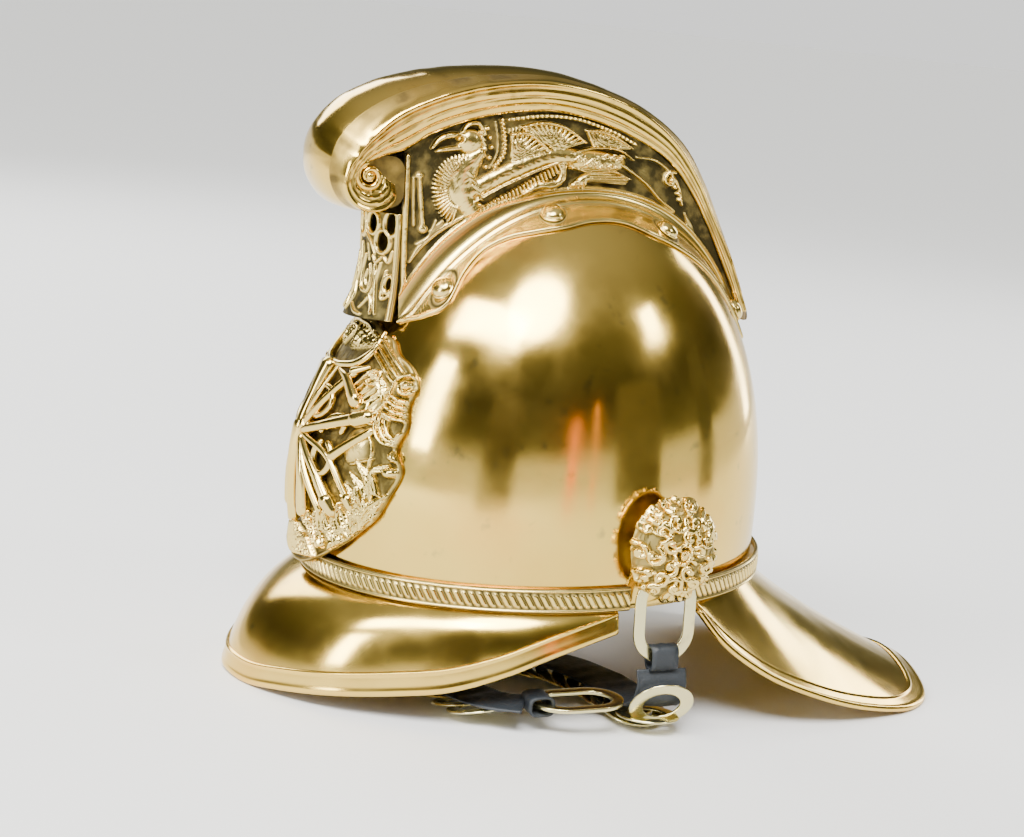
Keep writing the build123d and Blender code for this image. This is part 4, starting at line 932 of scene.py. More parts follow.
def make_fret():
    """The pierced panel below the scroll: loops of ribbon between plain borders."""
    count, across = 130, 170
    z = np.linspace(FRET_LOW, FRET_HIGH, count)
    edge, middle = FRET_EDGE.over(z, 1)[:, 0], FRET_MIDDLE.over(z, 1)[:, 0]
    half = FRET_HALF_WIDTH.over(z, 1)[:, 0]
    share = np.linspace(-1, 1, across)
    rows = np.stack([
        half[:, None] * share[None],
        middle[:, None] + (edge - middle)[:, None] * share[None] ** 2,
        np.repeat(z[:, None], across, 1),
    ], -1)
    relief = Relief(np.abs(rows[..., 0]), rows[..., 2])
    stroke = relief.stroke
    for x, zz, a, b in FRET_HOLES:
        angle = np.linspace(0, 2 * pi, 14)
        stroke([(x + (a + 1.1) * cos(t), zz + (b + 1.1) * sin(t)) for t in angle], 2.0, 1.5)
    for line in (
        [(3, 170), (4, 160), (8, 156), (11, 151)], [(10, 150), (12, 147.5), (15, 150)],
        [(16, 150), (18, 148), (19.5, 153)],
        [(5, 150), (4, 141), (7, 134), (10, 133.5), (11, 139), (9, 146)],
        [(8, 143), (7.4, 138.5), (9, 136.5)],
        [(12, 146), (13.5, 138), (12, 130), (10, 126)], [(15, 147), (14, 138), (16, 130), (18, 124)],
        [(18, 144), (17.6, 137), (19, 131), (21, 133)], [(12, 133), (15, 128), (16, 124)],
        [(0, 155), (1.5, 146), (0, 137)], [(0, 137), (2.5, 130), (0, 124)], [(4, 127), (8, 124), (12, 123)],
    ):
        stroke(line, 1.9, 1.4, (0.8, 0.6))
    for k in range(9):
        relief.blob((5.2 + 0.3 * k, 155 - k * 0.9), (0.8, 0.5), 1.0)
    height = relief.height
    border = np.clip(1.0 - (half[:, None] - np.abs(rows[..., 0])) / 2.4, 0, 1)
    height = np.maximum(height, np.sqrt(np.clip(1 - (2 * border - 1) ** 2, 0, 1)) * (border > 0) * 1.7)
    normal = grid_normals(rows)
    if normal[60, 85, 1] > 0:
        normal = -normal
    front, back = rows + normal * (height - 0.3)[..., None], rows - normal * 0.9
    kept = np.ones((count - 1, across - 1), bool)
    mid_x = np.abs((rows[:-1, :-1, 0] + rows[1:, 1:, 0]) / 2)
    mid_z = (rows[:-1, :-1, 2] + rows[1:, 1:, 2]) / 2
    for x, zz, a, b in FRET_HOLES:
        kept &= ((mid_x - x) / a) ** 2 + ((mid_z - zz) / b) ** 2 > 1
    points, faces = pierced(front, back, kept)
    tone = np.concatenate([np.clip(height / 1.4, 0, 1).ravel(), np.full(height.size, 0.1)])
    piece("comb_front_fret_relief", points, faces, EMBOSSED,
          stands_for=("comb_front_fret",), slot="embossed_brass", tone=tone)


def pierced(front, back, kept):
    """A sheet between two grids with the cells that aren't kept left out, closed round every edge."""
    rows, columns = front.shape[:2]
    size = rows * columns
    i, j = np.nonzero(kept)
    first = i * columns + j
    corner = np.stack([first, first + columns, first + columns + 1, first + 1], 1)
    faces = corner.tolist() + (corner[:, ::-1] + size).tolist()
    padded = np.pad(kept, 1)
    for di, dj, a, b in ((0, -1, 0, 1), (1, 0, 1, 2), (0, 1, 2, 3), (-1, 0, 3, 0)):
        open_side = ~padded[i + 1 + di, j + 1 + dj]
        walls = corner[open_side]
        faces += np.stack([walls[:, b], walls[:, a], walls[:, a] + size, walls[:, b] + size], 1).tolist()
    return np.concatenate([front.reshape(-1, 3), back.reshape(-1, 3)]), faces


# ---------------------------------------------------------------- badge
BADGE_HALF = [
    (0, 119.4), (11, 119), (20, 115.5), (28, 114), (34, 109), (43, 104), (49.5, 96), (50, 87),
    (52.5, 78), (51.5, 68), (55.5, 58), (53, 46), (49, 35), (42, 26.5), (33, 18), (22, 10.5),
    (10, 5.5), (0, 4.6),
]
BADGE_MIDDLE = (0.0, 62.0)


def badge_point(x, z, proud=0.0):
    """Points of the badge's plain front face, `proud` mm in front of it."""
    x, z, proud = np.broadcast_arrays(*(np.asarray(value, float) for value in (x, z, proud)))
    reach = (x / 60.0) ** 2 + ((z - 60.0) / 64.0) ** 2
    foot_rise = np.maximum(1 - np.maximum(z, 0) / 24.0, 0) * 4.9
    rise = 0.6 + 7.0 * np.maximum(1 - reach, 0) + foot_rise
    foot = skull_front(x, np.maximum(z, 0.0))
    normal = skull_normal(foot)
    y = foot[..., 1] + normal[..., 1] * (rise + SHEET + proud)
    return np.stack([x, y, z], -1)


def draw_badge(relief):
    """Scrolls, shells and leaves round the badge's edge, drawn in (|x|, z)."""
    stroke, blob, leaf, scroll = relief.stroke, relief.blob, relief.leaf, relief.scroll
    stroke([(0, 117.2), (11, 116.6), (19, 113.4), (26, 112)], 2.6, 2.2, (1, 0.8))
    for k in range(3):
        curl = [(25 - k, 112.5 - 2.4 * k), (33 - k, 107.5 - 2.4 * k), (42 - k, 101 - 2.4 * k)]
        stroke(curl, 2.0, 2.6, (0.7, 0.6))
    for k in range(7):
        leaf((6 + 2.2 * k, 106 + 0.4 * k), (3 + 3.4 * k, 116.5 - 0.35 * k), 4.0, 2.2)
    scroll((46.6, 95), 5.2, 2.6, 1.3, 2.3, 3.4, way=-1)
    for k in range(4):
        stroke([(42.4, 90.5 - 2.6 * k), (47, 88.6 - 2.6 * k), (51.2, 88.4 - 2.6 * k)], 2.3, 3.2, (0.6, 1.0))
    for k in range(3):
        curl = [(41 + 1.7 * k, 82), (42 + 1.9 * k, 75 + k), (47 + k, 69.6 + 1.6 * k), (52, 69.4 + 1.4 * k)]
        stroke(curl, 1.9, 2.8, (0.7, 0.8))
    for x, z, height in ((52.4, 73.2, 3.6), (52.2, 64.6, 4.0), (52.0, 57.2, 4.0)):
        blob((x, z), (2.9, 2.9), height)
    for k in range(3):
        curl = [(51 - k, 60.4 - 1.5 * k), (46.4 - 0.2 * k, 58.6 - 1.2 * k)]
        stroke(curl + [(44.8 + 1.2 * k, 53), (47.4 + k, 46.5)], 1.8, 2.8, (0.7, 0.7))
    for root, tip, width, bend in (
        ((42.5, 24.5), (41.0, 50.5), 10.5, -0.05), ((44, 26), (52.6, 47.5), 6.4, 0.10),
        ((44, 25), (52.4, 39), 5.4, 0.1), ((43, 24), (49.4, 31.8), 5.0, 0.12), ((41, 24), (33, 40), 6.4, 0.1),
    ):
        leaf(root, tip, width, 3.4, bend)
    blob((42.5, 25), (2.6, 2.0), 3.8)
    for k in range(4):
        curl = [(28.5 + 2.1 * k, 27 - k), (30.6 + 1.9 * k, 21), (30 + 1.6 * k, 14.4 + k)]
        stroke(curl, 2.0, 3.0, (0.7, 0.5))
    stroke([(22, 36), (22.5, 28), (24, 20)], 3.4, 3.0, (0.6, 0.9))
    blob((24.4, 18.6), (3.4, 3.4), 3.8)
    for k in range(9):
        stroke([(1.2 + 1.6 * k, 22 - 0.4 * k), (2.2 + 2.3 * k, 8.5 + 0.35 * k)], 2.3, 2.6, (0.5, 1.0))
    scroll((14, 27), 4.6, 0.6, 1.2, 2.0, 2.8)
    leaf((30, 98), (40, 87), 6.0, 2.6, 0.1)
    scroll((31, 97), 4.2, 4.2, 1.2, 1.8, 2.6)
    for k in range(4):
        leaf((36 - 5 * k, 22 - 1.5 * k), (31 - 6 * k, 37 - 2 * k), 6.0, 2.8, 0.12)
        leaf((40 + 2.0 * k, 27 + 5.0 * k), (33 + 1.4 * k, 44 + 5.6 * k), 4.6, 2.4, -0.15)
    for k in range(6):
        stroke([(28 + 2.6 * k, 99 - 1.2 * k), (24 + 2.4 * k, 92 - 1.6 * k)], 1.8, 2.0, (0.5, 1.0))
    scroll((9, 110), 3.6, 0.4, 1.2, 1.6, 2.4)
    scroll((40, 79), 3.2, 1.4, 1.2, 1.6, 2.4)
    # the plain oval field's rim and the helmet-like swell inside it
    stroke([(41, 97), (41.5, 88), (37, 79), (28, 75.5)], 1.7, 2.4, (0.8, 0.7))
    stroke([(38.5, 74), (43, 67), (43.4, 58)], 1.4, 1.8)
    blob((33, 84), (7.5, 8.5), 1.8, power=0.7)
    blob((35.5, 66), (6.0, 9.0), 1.6, power=0.7)
    stroke([(36, 58), (44, 62)], 1.6, 1.8)


def make_badge():
    """The embossed plate: rings of points from its middle out to its scrolled edge, and a plain back."""
    outline = Course(BADGE_HALF).at(np.linspace(0, 1, 350))
    outline = np.concatenate([outline, outline[-2:0:-1] * (-1, 1)])
    share = np.linspace(0.004, 1, 130) ** 0.92
    middle = np.array(BADGE_MIDDLE)
    flat = middle + (outline - middle)[None] * share[:, None, None]
    x, z = flat[..., 0], flat[..., 1]
    relief = Relief(np.abs(x), z)
    draw_badge(relief)
    edge_gap = (1 - share)[:, None] * np.linalg.norm(outline - middle, axis=1)[None]
    height = relief.height * 1.25 * np.clip(edge_gap / 0.8, 0.35, 1)
    height = np.maximum(height, np.exp(-((edge_gap - 0.8) / 0.7) ** 2) * 1.1)
    height = height + smooth_noise(x.shape, (60, 120), 8) * 0.15
    base = badge_point(x, z)
    normal = np.cross(np.gradient(base, axis=0), (np.roll(base, -1, 1) - np.roll(base, 1, 1)))
    normal /= np.maximum(np.linalg.norm(normal, axis=2, keepdims=True), 1e-9)
    if normal[60, 200, 1] > 0:
        normal = -normal
    front = base + normal * height[..., None]
    back = (base - normal * SHEET)[::-1][::16]
    rings = np.concatenate([front, back])
    tone = np.concatenate([np.clip(0.05 + height / 3.4, 0, 1), np.full(back.shape[:2], 0.3)])
    piece("front_badge_embossed", rings.reshape(-1, 3), tube_faces(len(rings), x.shape[1]), BADGE,
          stands_for=("front_badge_plate",), slot="badge_brass", tone=tone)


def on_badge(points):
    """(x, z, proud) points as places on the badge."""
    x, z, proud = np.array(points, float).T
    return badge_point(x, z, proud)


def badge_bar(points, radii, flat=1.0):
    """A bar that lies on the badge through (x, z, proud) points."""
    share = np.linspace(0, 1, BAR_STEPS)
    line = Course(points).at(share) if len(points) > 2 else np.linspace(points[0], points[1], BAR_STEPS)
    radii = BAR_SWELL * np.interp(share, np.linspace(0, 1, len(radii)), radii)
    return rod_mesh(on_badge(line), radii, 12, flat, up=(0, -1, 0))


BAR_STEPS, BAR_SWELL = 26, 1.3
HUB = (0.0, 69.0)
# The torch below the hub and the one above it.
MIDDLE_BARS = [
    ([(0, 26, 3.2), (0, 58, 5.2), (0, 69, 5.6)], [2.4, 2.6, 3.2]),
    ([(0, 69, 5.6), (0, 84, 5.0), (0, 97, 4.2)], [2.8, 2.2, 3.4]),
]
# What lies on each side, for the side with +x: points, radii along the bar and, for some, its flatness.
SIDE_BARS = [
    # axe: haft and head
    ([(-23, 34, 2.2), (0, 66, 5.0), (22, 98, 2.8)], [1.5, 1.7, 1.5]),
    ([(12, 97, 4.0), (20, 94, 4.0), (28, 86, 2.4)], [1.0, 2.6, 3.8], 0.6),
    ([(21, 98, 3.4), (27, 101, 2.4)], [1.8, 0.7]),
    # branch pipe
    ([(35, 79, 1.8), (14, 71, 4.6), (0, 66, 5.2)], [2.7, 2.0, 1.6]),
    ([(33, 78, 2.2), (37.5, 80, 1.6)], [3.2, 3.0]),
    # torches that fan out below
    ([(3, 64, 5.0), (9, 50, 4.0), (11, 31, 2.6)], [1.6, 2.3, 2.8]),
    ([(5, 63, 4.6), (20, 50, 3.4), (29, 38, 2.4)], [1.5, 1.9, 2.6]),
    ([(28, 39, 2.4), (31, 35, 2.0)], [3.3, 2.6]),
    # hose loops
    ([(8 + 9 * sin(a), 82 + 7 * cos(a), 3.6) for a in np.linspace(0, 2 * pi, 13)], [1.15, 1.15]),
    ([(21 + 6 * sin(a), 58 + 7.5 * cos(a), 3.0) for a in np.linspace(0.4, 1.85 * pi, 13)], [1.3, 1.3]),
    # pike, hook and a rod with a ball end
    ([(0, 69, 5.4), (9, 100, 3.6)], [1.3, 1.5, 0.6]),
    ([(17, 70, 3.4), (22, 77, 3.2), (29, 77.5, 2.6), (28, 71, 2.2)], [1.3, 1.5, 1.0]),
    ([(4, 66, 5.0), (24, 60, 3.4), (38, 42, 2.0)], [1.2, 1.4, 1.2]),
    ([(38, 42, 2.0), (39.4, 39, 1.8)], [2.4, 2.0]),
    ([(27, 60, 2.4), (41, 74, 1.8)], [2.2, 1.6]),
    # the ribbon's half above
    (
        [(22.5, 116, 2.0), (24, 108, 2.6), (20, 102, 3.2), (11, 99.5, 3.8), (0, 99, 4.0)],
        [1.0, 1.7, 1.4, 1.2], 0.8,
    ),
]
BOSS = [(7.0, -3), (7.0, 0.4), (6.2, 1.4), (5.4, 1.6), (4.9, 2.8), (3.2, 3.9), (1.2, 4.4), (0.05, 4.5)]


def make_emblem():
    """Crossed axes, branch pipes and torches, in high relief round a boss, with a ribbon above."""
    parts = [badge_bar(*bar) for bar in MIDDLE_BARS]
    for way in (-1, 1):
        for points, *looks in SIDE_BARS:
            parts.append(badge_bar([(way * x, z, proud) for x, z, proud in points], *looks))
    parts.append(lathe_mesh(on_badge([(*HUB, 4.0)])[0], skull_normal(skull_front(*HUB)), BOSS, 36))
    points, faces = joined(parts)
    piece("badge_emblem_relief", points, faces, BADGE, stands_for=("badge_emblem",), slot="badge_brass",
          tone=np.full(len(points), 0.95))


# ---------------------------------------------------------------- ear rosettes
def make_rosettes():
    """Bosses of curling leaves, thick and lumpy, hollow behind."""
    depth, half_width, half_height = ROSETTE_SIZE
    turns = np.linspace(0, 2 * pi, 360, endpoint=False)[None]
    polar = np.linspace(0.02, pi / 2, 110)[:, None]
    u, v = half_width * np.sin(polar) * np.cos(turns), half_height * np.sin(polar) * np.sin(turns)
    base = np.stack([depth * np.cos(polar) + 0 * u, u, v], -1) + ROSETTE
    relief = Relief(u, v)
    noise = np.random.default_rng(21)
    for ring, count, size in ((0.36, 5, 4.2), (0.64, 9, 4.6), (0.90, 13, 4.2)):
        for k in range(count):
            a = 2 * pi * (k + 0.5 * (ring > 0.5)) / count + noise.uniform(-0.12, 0.12)
            at = (half_width * ring * cos(a), half_height * ring * sin(a))
            way = 1 if k % 2 else -1
            relief.scroll(at, size * noise.uniform(0.85, 1.15), noise.uniform(0, 6), 1.0, 3.0, 2.9, way=way)
            relief.stroke([np.array(at) * 0.75, np.array(at) * 1.12], 2.6, 2.2, (0.4, 0.8))
    relief.scroll((0, 0), 5.6, 0.3, 1.4, 2.8, 3.0)
    height = relief.height + smooth_noise(u.shape, (12, 26), 4) * 0.9
    height = (height - 1.6) * np.clip((pi / 2 - polar) / 0.12, 0.25, 1)
    out = (base - ROSETTE) / (depth, half_width, half_height) / (depth, half_width, half_height)
    out = out / np.linalg.norm(out, axis=2, keepdims=True)
    front = base + out * np.minimum(height, 1.6)[..., None]
    back = (base - out * 1.6)[::-1][::10]
    rings = np.concatenate([front, back])
    tone = np.concatenate([np.clip((height + 1.5) / 3.0, 0, 1), np.full(back.shape[:2], 0.2)])
    piece_pair(("rosette_left_foliage", "rosette_left"), ("rosette_right_foliage", "rosette_right"),
               rings.reshape(-1, 3), tube_faces(len(rings), turns.size), ROSE, "rosette_brass", tone)


# ---------------------------------------------------------------- chin chain
LINK_SIZE, LINK_STRIP, LINK_SHEET = (30.0, 44.0), 5.5, 2.2
STRAP_WIDTH, STRAP_SHEET = 24.0, 2.0
END_LINK_PLACE = (88.5, -6.0, -43.2)
LINK_TOP = HOOK_BAR[2] + 1.6 + 0.25 + LINK_STRIP
STRAP_ROUTE = [
    ((96.8, 31, -27.5), (1, 0, 0)), ((99, 30.8, -35), (1, -0.05, -0.15)),
    ((96.5, 30, -43), (0.7, -0.1, -0.7)), ((86, 28.5, -47.4), (0.15, 0, -1)),
    ((70, 26, -47.8), (0, 0, -1)), ((44, 21, -47.6), (0, 0, -1)),
    ((18, 7, -46.8), (0, 0, -1)), ((8, -18, -45.6), (0, 0, -1)), ((22, -42, -44.4), (0, 0, -1)),
    ((46, -53, -43.8), (0, 0, -1)), ((70, -50, -43.4), (0, 0, -1)), ((84, -41, -43.2), (0, 0, -1)),
    ((88.5, -32, -43.2), (0, 0, -1)),
]


def link_mesh(middle, across, along, out):
    """A flat oval link with eased edges."""
    width, height = LINK_SIZE
    straight, radius = height / 2 - width / 2, width / 2 - LINK_STRIP / 2
    loop = []
    for way in (1, -1):
        for a in np.linspace(-pi / 2, pi / 2, 24):
            loop.append((radius * sin(a) * way, (straight + radius * cos(a)) * way))
    loop = np.array(loop)
    centre = np.array(middle) + loop[:, :1] * across + loop[:, 1:] * along
    ahead = np.roll(centre, -1, 0) - np.roll(centre, 1, 0)
    ahead /= np.linalg.norm(ahead, axis=1, keepdims=True)
    side = np.cross(ahead, out)
    half_w, half_t = LINK_STRIP / 2, LINK_SHEET / 2
    profile = [rounded(a, (0.35, 0.55)) for a in np.linspace(0, 2 * pi, 20, endpoint=False)]
    rings = np.array([centre + side * (half_w * w) + np.asarray(out) * (half_t * t) for w, t in profile])
    rings = rings.transpose(1, 0, 2)
    count, sides = rings.shape[:2]
    faces = quads(count, sides, wrap=True)
    last = (count - 1) * sides
    faces += [[last + j, j, (j + 1) % sides, last + (j + 1) % sides] for j in range(sides)]
    return rings.reshape(-1, 3), faces


def strap_frames(count):
    """Middles, directions, ring-side directions and width directions along the strap."""
    share = np.linspace(0, 1, count)
    route = Course([p for p, _ in STRAP_ROUTE])
    faces = Course([p + tuple(n) for p, n in STRAP_ROUTE])
    middle = route.at(share)
    ahead = route.at(np.minimum(share + 0.004, 1)) - route.at(np.maximum(share - 0.004, 0))
    ahead /= np.linalg.norm(ahead, axis=1, keepdims=True)
    face = faces.at(np.interp(share, route.knots, faces.knots))[:, 3:]
    face = face - ahead * np.sum(face * ahead, axis=1, keepdims=True)
    face /= np.linalg.norm(face, axis=1, keepdims=True)
    return middle, ahead, face, np.cross(ahead, face)


def make_strap():
    """The leather: a creased strap with a loop at each end."""
    count = 300
    middle, ahead, face, across = strap_frames(count)
    half = STRAP_WIDTH / 2
    profile = [rounded(a, (0.4, 0.7)) for a in np.linspace(0, 2 * pi, 44, endpoint=False)]
    wave = smooth_noise((count, 44), (46, 8), 12)
    edge_wave = smooth_noise((count, 2), (40, 1), 13)
    rings = []
    for j, (w, t) in enumerate(profile):
        wide = half * w * (1 + 0.02 * edge_wave[:, int(w > 0)])
        thick = STRAP_SHEET / 2 * t + 0.32 * wave[:, j] * (abs(w) < 0.97)
        rings.append(middle + across * wide[:, None] + face * thick[:, None])
    rings = np.array(rings).transpose(1, 0, 2)
    parts = [(rings.reshape(-1, 3), tube_faces(count, 44))]
    x, y, z = HOOK_BAR[0], HOOK_BAR[1], LINK_TOP - LINK_SIZE[1] + LINK_STRIP / 2
    parts.append(sleeve((x, y, z), (0, 1, 0), (0, 0, 1)))
    ex, ey, ez = END_LINK_PLACE
    parts.append(sleeve((ex, ey - LINK_SIZE[1] / 2 + LINK_STRIP / 2, ez), (1, 0, 0), (0, 1, 0)))
    points, faces = joined(parts)
    piece("chin_chain_strap", points, faces, STRAP_LEATHER, body="chin_chain",
          stands_for=("chin_chain_leather",), slot="chain_leather")


def sleeve(middle, along, up):
    """A leather loop, 13 mm wide, folded round a link's limb."""
    middle, along, up = np.array(middle, float), np.array(along, float), np.array(up, float)
    out = np.cross(along, up)
    turns = np.linspace(0, 2 * pi, 36, endpoint=False)
    square = [(4.5 * w, 6.0 * h) for w, h in (rounded(a, (0.6, 0.6)) for a in turns)]
    inner = [(0.78 * w, 0.80 * h) for w, h in square]
    stations = [(-6.4, inner)] + [(reach, square) for reach in (-6.4, -3, 0, 3, 6.4)] + [(6.4, inner)]
    rings = []
    for reach, loop in stations:
        bulge = 1 + 0.03 * cos(reach)
        rings.append([middle + along * reach + out * w * bulge + up * h * bulge for w, h in loop])
    rings = np.array(rings + [rings[0]])
    return rings.reshape(-1, 3), quads(len(rings), 36, wrap=True)


def make_rings():
    """Flat stamped rings with eased edges, one for each ring solid, in that solid's own place."""
    mesh = frame["nodes"]["chin_chain_rings"].data
    points = unseated([v.co for v in mesh.vertices])
    group = islands(mesh)
    parts = []
    for g in np.unique(group):
        own = points[group == g]
        middle = (own.min(0) + own.max(0)) / 2
        middle = own.mean(0) * 0.5 + middle * 0.5
        _, _, axes = np.linalg.svd(own - own.mean(0), full_matrices=False)
        axis = axes[2] * (1 if axes[2][2] > 0 else -1)
        radius = np.abs((own - middle) @ axes[0]).max()
        profile = [
            (radius - 3.2 + 3.2 * w, 0.68 * t)
            for w, t in (rounded(a, (0.4, 0.6)) for a in np.linspace(0, 2 * pi, 17)[:-1])
        ]
        turn = np.linspace(0, 2 * pi, 48, endpoint=False)
        circle = np.cos(turn)[:, None] * axes[0] + np.sin(turn)[:, None] * np.cross(axis, axes[0])
        rings = np.array([middle + circle * r + axis * t for r, t in profile + profile[:1]])
        parts.append((rings.reshape(-1, 3), quads(len(rings), 48, wrap=True)))
    points, faces = joined(parts)
    piece("chin_chain_ring_row", points, faces, CHAIN, body="chin_chain",
          stands_for=("chin_chain_rings",), slot="chain_brass")


def islands(mesh):
    """The number of each vertex's connected island, joining vertices that share a place."""
    places, parent = {}, list(range(len(mesh.vertices)))

    def root(v):
        while parent[v] != v:
            parent[v] = parent[parent[v]]
            v = parent[v]
        return v

    for v in mesh.vertices:
        key = tuple(round(c, 6) for c in v.co)
        parent[root(v.index)] = root(places.setdefault(key, v.index))
    for edge in mesh.edges:
        parent[root(edge.vertices[0])] = root(edge.vertices[1])
    return np.array([root(v) for v in range(len(parent))])


def make_links():
    """The long link on the left hook and the one at the chain's free end."""
    hook_place = (HOOK_BAR[0], HOOK_BAR[1], LINK_TOP - LINK_SIZE[1] / 2)
    x, y, z = np.eye(3)
    for name, body, node, place, across, along, out in (
        ("hook_link_eased", "hook_link", "hook_link", hook_place, y, z, x),
        ("end_link_eased", "end_link", "chin_chain_end_link", END_LINK_PLACE, x, y, z),
    ):
        points, faces = link_mesh(place, across, along, out)
        piece(name, points, faces, CHAIN, body=body, stands_for=(node,), slot="chain_brass")


# ---------------------------------------------------------------- liner
TONGUE_GAP, TONGUE_RISE, LACE_RADIUS = 12, 112.0, 26


def make_liner():
    """Sweatband, eight tongues and the lace through their ends."""
    turns = np.linspace(0, 2 * pi, 260, endpoint=False)
    rings = []
    for a in np.linspace(0, 2 * pi, 28, endpoint=False):
        wide, high = rounded(a, (0.5, 0.35))
        rise, off = 9.5 + 14.5 * (1 + high), -2.9 + wide
        rings.append(skull_at(turns, np.full(260, 0.0), off) + (0, 0, rise) + (0, SKULL_LEAN * rise, 0))
    rings = np.array(rings + [rings[0]])
    piece("sweatband", rings.reshape(-1, 3), quads(len(rings), 260, wrap=True), LINER_LEATHER,
          stands_for=("liner_sweatband",), slot="liner_leather")
    parts = []
    for index in range(8):
        middle, half = 2 * pi * (index + 0.5) / 8, pi / 8 * 0.93
        rise = np.linspace(0, 1, 40)[:, None]
        spread = np.linspace(-1, 1, 24)[None]
        turn = middle + half * (1 - 0.12 * rise) * spread
        z = 38.0 + TONGUE_RISE * np.sin(radians(78) * rise) + 0 * spread
        share = np.sqrt(np.maximum(1 - ((z - 20.0) / 150.0) ** 2, 0.0))
        x = (HALF_WIDTH - TONGUE_GAP) * share * np.cos(turn)
        y = SKULL_LEAN * z + (HALF_LENGTH - TONGUE_GAP) * share * np.sin(turn)
        grid = np.stack([x, y, z], -1)
        normal = grid_normals(grid)
        if np.sum(normal[20, 12] * (grid[20, 12] - (0, 0, 60))) < 0:
            normal = -normal
        pucker = smooth_noise((40, 24), (7, 5), 30 + index) * 0.5
        inner = grid + normal * (pucker * 0.6 + 0.1)[..., None]
        outer = grid + normal * (1.7 + pucker * 0.6)[..., None]
        loops = np.concatenate([outer, inner[:, ::-1]], 1)
        parts.append((loops.reshape(-1, 3), tube_faces(40, 48)))
    points, faces = joined(parts)
    piece("tongues", points, faces, LINER_LEATHER, stands_for=("liner_tongues",), slot="liner_leather")
    top = 38.0 + TONGUE_RISE * sin(radians(78)) + 3.4
    angle = np.linspace(0, 2 * pi, 160)
    x, y = LACE_RADIUS * np.cos(angle), SKULL_LEAN * top + LACE_RADIUS * np.sin(angle)
    line = np.stack([x, y, np.full(160, top) + 0.5 * np.sin(9 * angle)], 1)
    braid = rod_mesh(line, 1.2 + 0.12 * np.cos(46 * angle), 12)
    piece("lace", *braid, CORD, stands_for=("liner_lace",), slot="liner_cord")


make_skull()
make_headbands()
make_peak("front_peak", FRONT_EDGE, (5.0, -90.0), (0.80, 0.22))
make_peak("neck_guard", REAR_EDGE, (27.0, 90.0), (0.30, 0.45))
for make in (
    make_comb_sides, make_cap, make_scroll_eyes, make_comb_rivets, make_fret, make_badge, make_emblem,
    make_rosettes, make_strap, make_rings, make_links, make_liner,
):
    make()

# ---------------------------------------------------------------- the CAD pieces that stay
for name, node in frame["nodes"].items():
    if not node.hide_render:
        node.data.materials.clear()
        node.data.materials.append(CAP if name == "comb_scroll_backing" else RIVET)

# ---------------------------------------------------------------- floor, light and camera
def stage_sheet(name, corners, material):
    """A flat sheet that stands beside the object and isn't part of it."""
    mesh = bpy.data.meshes.new(name)
    mesh.from_pydata(corners, [], [(0, 1, 2, 3)])
    sheet = show(name, mesh)
    mesh.materials.append(material)
    return sheet


def add_floor():
    """A pale floor, far wider than the picture."""
    size = 60.0
    corners = [(-size, -size, 0), (size, -size, 0), (size, size, 0), (-size, size, 0)]
    stage_sheet("floor", corners, plain_material("paper", (0.86, 0.86, 0.85), 0.9))


def add_lamp(name, light, place, target):
    """A light that points from one place to another."""
    lamp = show(name, light)
    lamp.rotation_euler = (Vector(target) - Vector(place)).to_track_quat("-Z", "Y").to_euler()
    return lamp


def add_light(name, place, target, size, power):
    """A rectangular area light."""
    light = bpy.data.lights.new(name, "AREA")
    light.shape = "RECTANGLE"
    light.size, light.size_y = size
    light.energy = power
    add_lamp(name, light, place, target).location = place


def add_world():
    """Pale all round, with darker bands near the horizon for the metal to mirror."""
    world = bpy.data.worlds.new("studio")
    bpy.context.scene.world = world
    world.use_nodes = True
    nodes, links = world.node_tree.nodes, world.node_tree.links
    background = nodes["Background"]
    direction = nodes.new("ShaderNodeTexCoord").outputs["Generated"]
    split = nodes.new("ShaderNodeSeparateXYZ")
    links.new(direction, split.inputs[0])
    ramp = nodes.new("ShaderNodeValToRGB")
    stops = [(0.0, 0.95), (0.535, 0.95), (0.56, 0.12), (0.66, 0.05), (0.8, 0.12), (1.0, 0.45)]
    links.new(ranged(nodes, links, split.outputs["Z"], low=-1.0), ramp.inputs["Fac"])
    elements = ramp.color_ramp.elements
    while len(elements) < len(stops):
        elements.new(0.5)
    for element, (position, grey) in zip(elements, stops):
        element.position = position
        element.color = (grey, grey, grey * (0.98 if grey > 0.3 else 0.55), 1)
    links.new(ramp.outputs["Color"], background.inputs["Color"])
    background.inputs["Strength"].default_value = 1.25


def add_camera():
    """The camera the headband and the skull's outline were fitted with."""
    azimuth, elevation, roll, distance, zoom = radians(69.0), radians(15.1), radians(3.3), 1100.0, 2.036
    aim = (528.0, 557.5)                # where the helmet frame's origin lands in the picture
    picture = (1024.0, 837.0)
    back = np.array([sin(azimuth) * cos(elevation), -cos(azimuth) * cos(elevation), sin(elevation)])
    right = np.array([cos(azimuth), sin(azimuth), 0.0])
    up = np.cross(back, right)
    across = cos(roll) * right + sin(roll) * up
    upward = cos(roll) * up - sin(roll) * right
    data = bpy.data.cameras.new("camera")
    data.sensor_width = 36.0
    data.lens = zoom * distance * data.sensor_width / picture[0]
    data.clip_start, data.clip_end = 0.05, 200
    camera = show("camera", data)
    place = seated(back * distance)
    # the camera turns so that the helmet frame's origin lands at `aim`, not at the picture's middle
    back = zoom * distance * back - (aim[1] - picture[1] / 2) * upward + (aim[0] - picture[0] / 2) * across
    back /= np.linalg.norm(back)
    across = np.cross(upward, back)
    across /= np.linalg.norm(across)
    axes = np.stack([TURN @ across, TURN @ np.cross(back, across), TURN @ back], 1)
    camera.matrix_world = Matrix([[*axes[i], place[i]] for i in range(3)] + [[0, 0, 0, 1]])
    bpy.context.scene.camera = camera


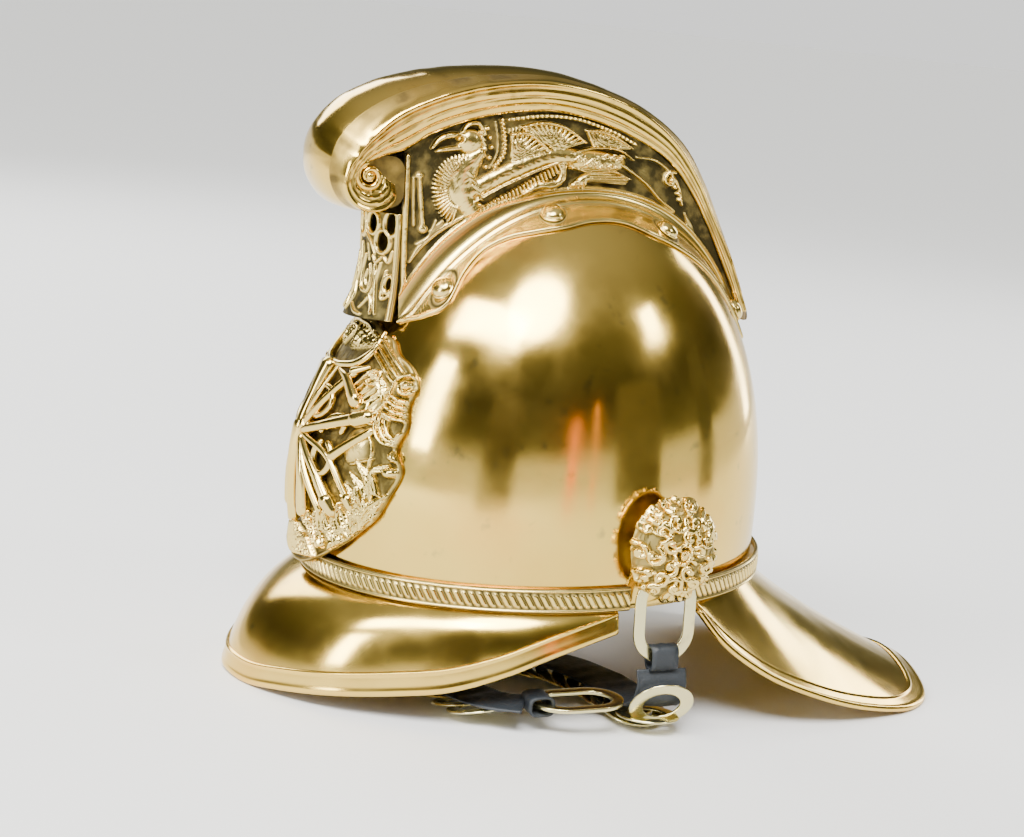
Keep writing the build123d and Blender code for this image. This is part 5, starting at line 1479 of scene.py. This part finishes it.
def towards(azimuth, elevation, reach=2.2):
    """A place `reach` metres off: azimuth from straight ahead of the badge to the wearer's left."""
    flat = cos(radians(elevation))
    way = np.array([sin(radians(azimuth)) * flat, -cos(radians(azimuth)) * flat, sin(radians(elevation))])
    return tuple(np.array(middle) + way * reach)


def add_sun(azimuth, elevation, strength, spread):
    """A wide, even light from far off."""
    light = bpy.data.lights.new("sky_panel", "SUN")
    light.energy, light.angle = strength, radians(spread)
    add_lamp("sky_panel", light, towards(azimuth, elevation), middle)


def add_screen(name, azimuth, width, height, colour, glow=0.0, reach=1.3):
    """A matt screen that stands on the floor, seen only as a reflection in the brass. Given a glow, it shines
    in its own colour though it is no lamp, and shows in the brass as a painted reflection.
    """
    foot = np.array(towards(azimuth, 0, reach)) * (1, 1, 0)
    side = np.array([cos(radians(azimuth)), sin(radians(azimuth)), 0.0]) * width / 2
    top = np.array([0.0, 0.0, height])
    corners = [foot - side, foot + side, foot + side + top, foot - side + top]
    screen_surface = plain_material(name, colour, 1.0, glow)
    screen = stage_sheet(name, [corner.tolist() for corner in corners], screen_surface)
    screen.visible_camera = False
    screen.visible_shadow = False
    screen.visible_diffuse = False


middle = tuple((cad_box[0] + cad_box[1]) / 2)
add_floor()
add_screen("screen_near", 60, 0.34, 0.62, (0.05, 0.045, 0.02))
add_screen("screen_wide", 122, 0.50, 0.66, (0.06, 0.055, 0.025))
add_screen("screen_far", 160, 0.22, 0.70, (0.04, 0.04, 0.02))
# two glowing orange strips, no lamps, seen only in the brass as painted orange reflections
add_screen("orange_glow_strip", 92, 0.07, 0.42, (1.0, 0.30, 0.04), 0.8, 1.15)
add_screen("orange_glow_edge", 101, 0.03, 0.50, (1.0, 0.42, 0.08), 0.7, 1.15)
add_world()
add_sun(66, 52, 4.6, 26)
add_light("key", towards(35, 43), middle, (1.5, 0.45), 60)
add_light("tall_window", towards(20, 16), middle, (0.4, 0.9), 26)
add_light("small_window", towards(140, 36), middle, (0.32, 0.4), 9)
add_light("rear_window", towards(205, 16), middle, (0.3, 1.4), 16)
add_light("far_side", towards(-75, 30), middle, (1.2, 0.9), 30)
add_camera()

bpy.context.view_layer.update()
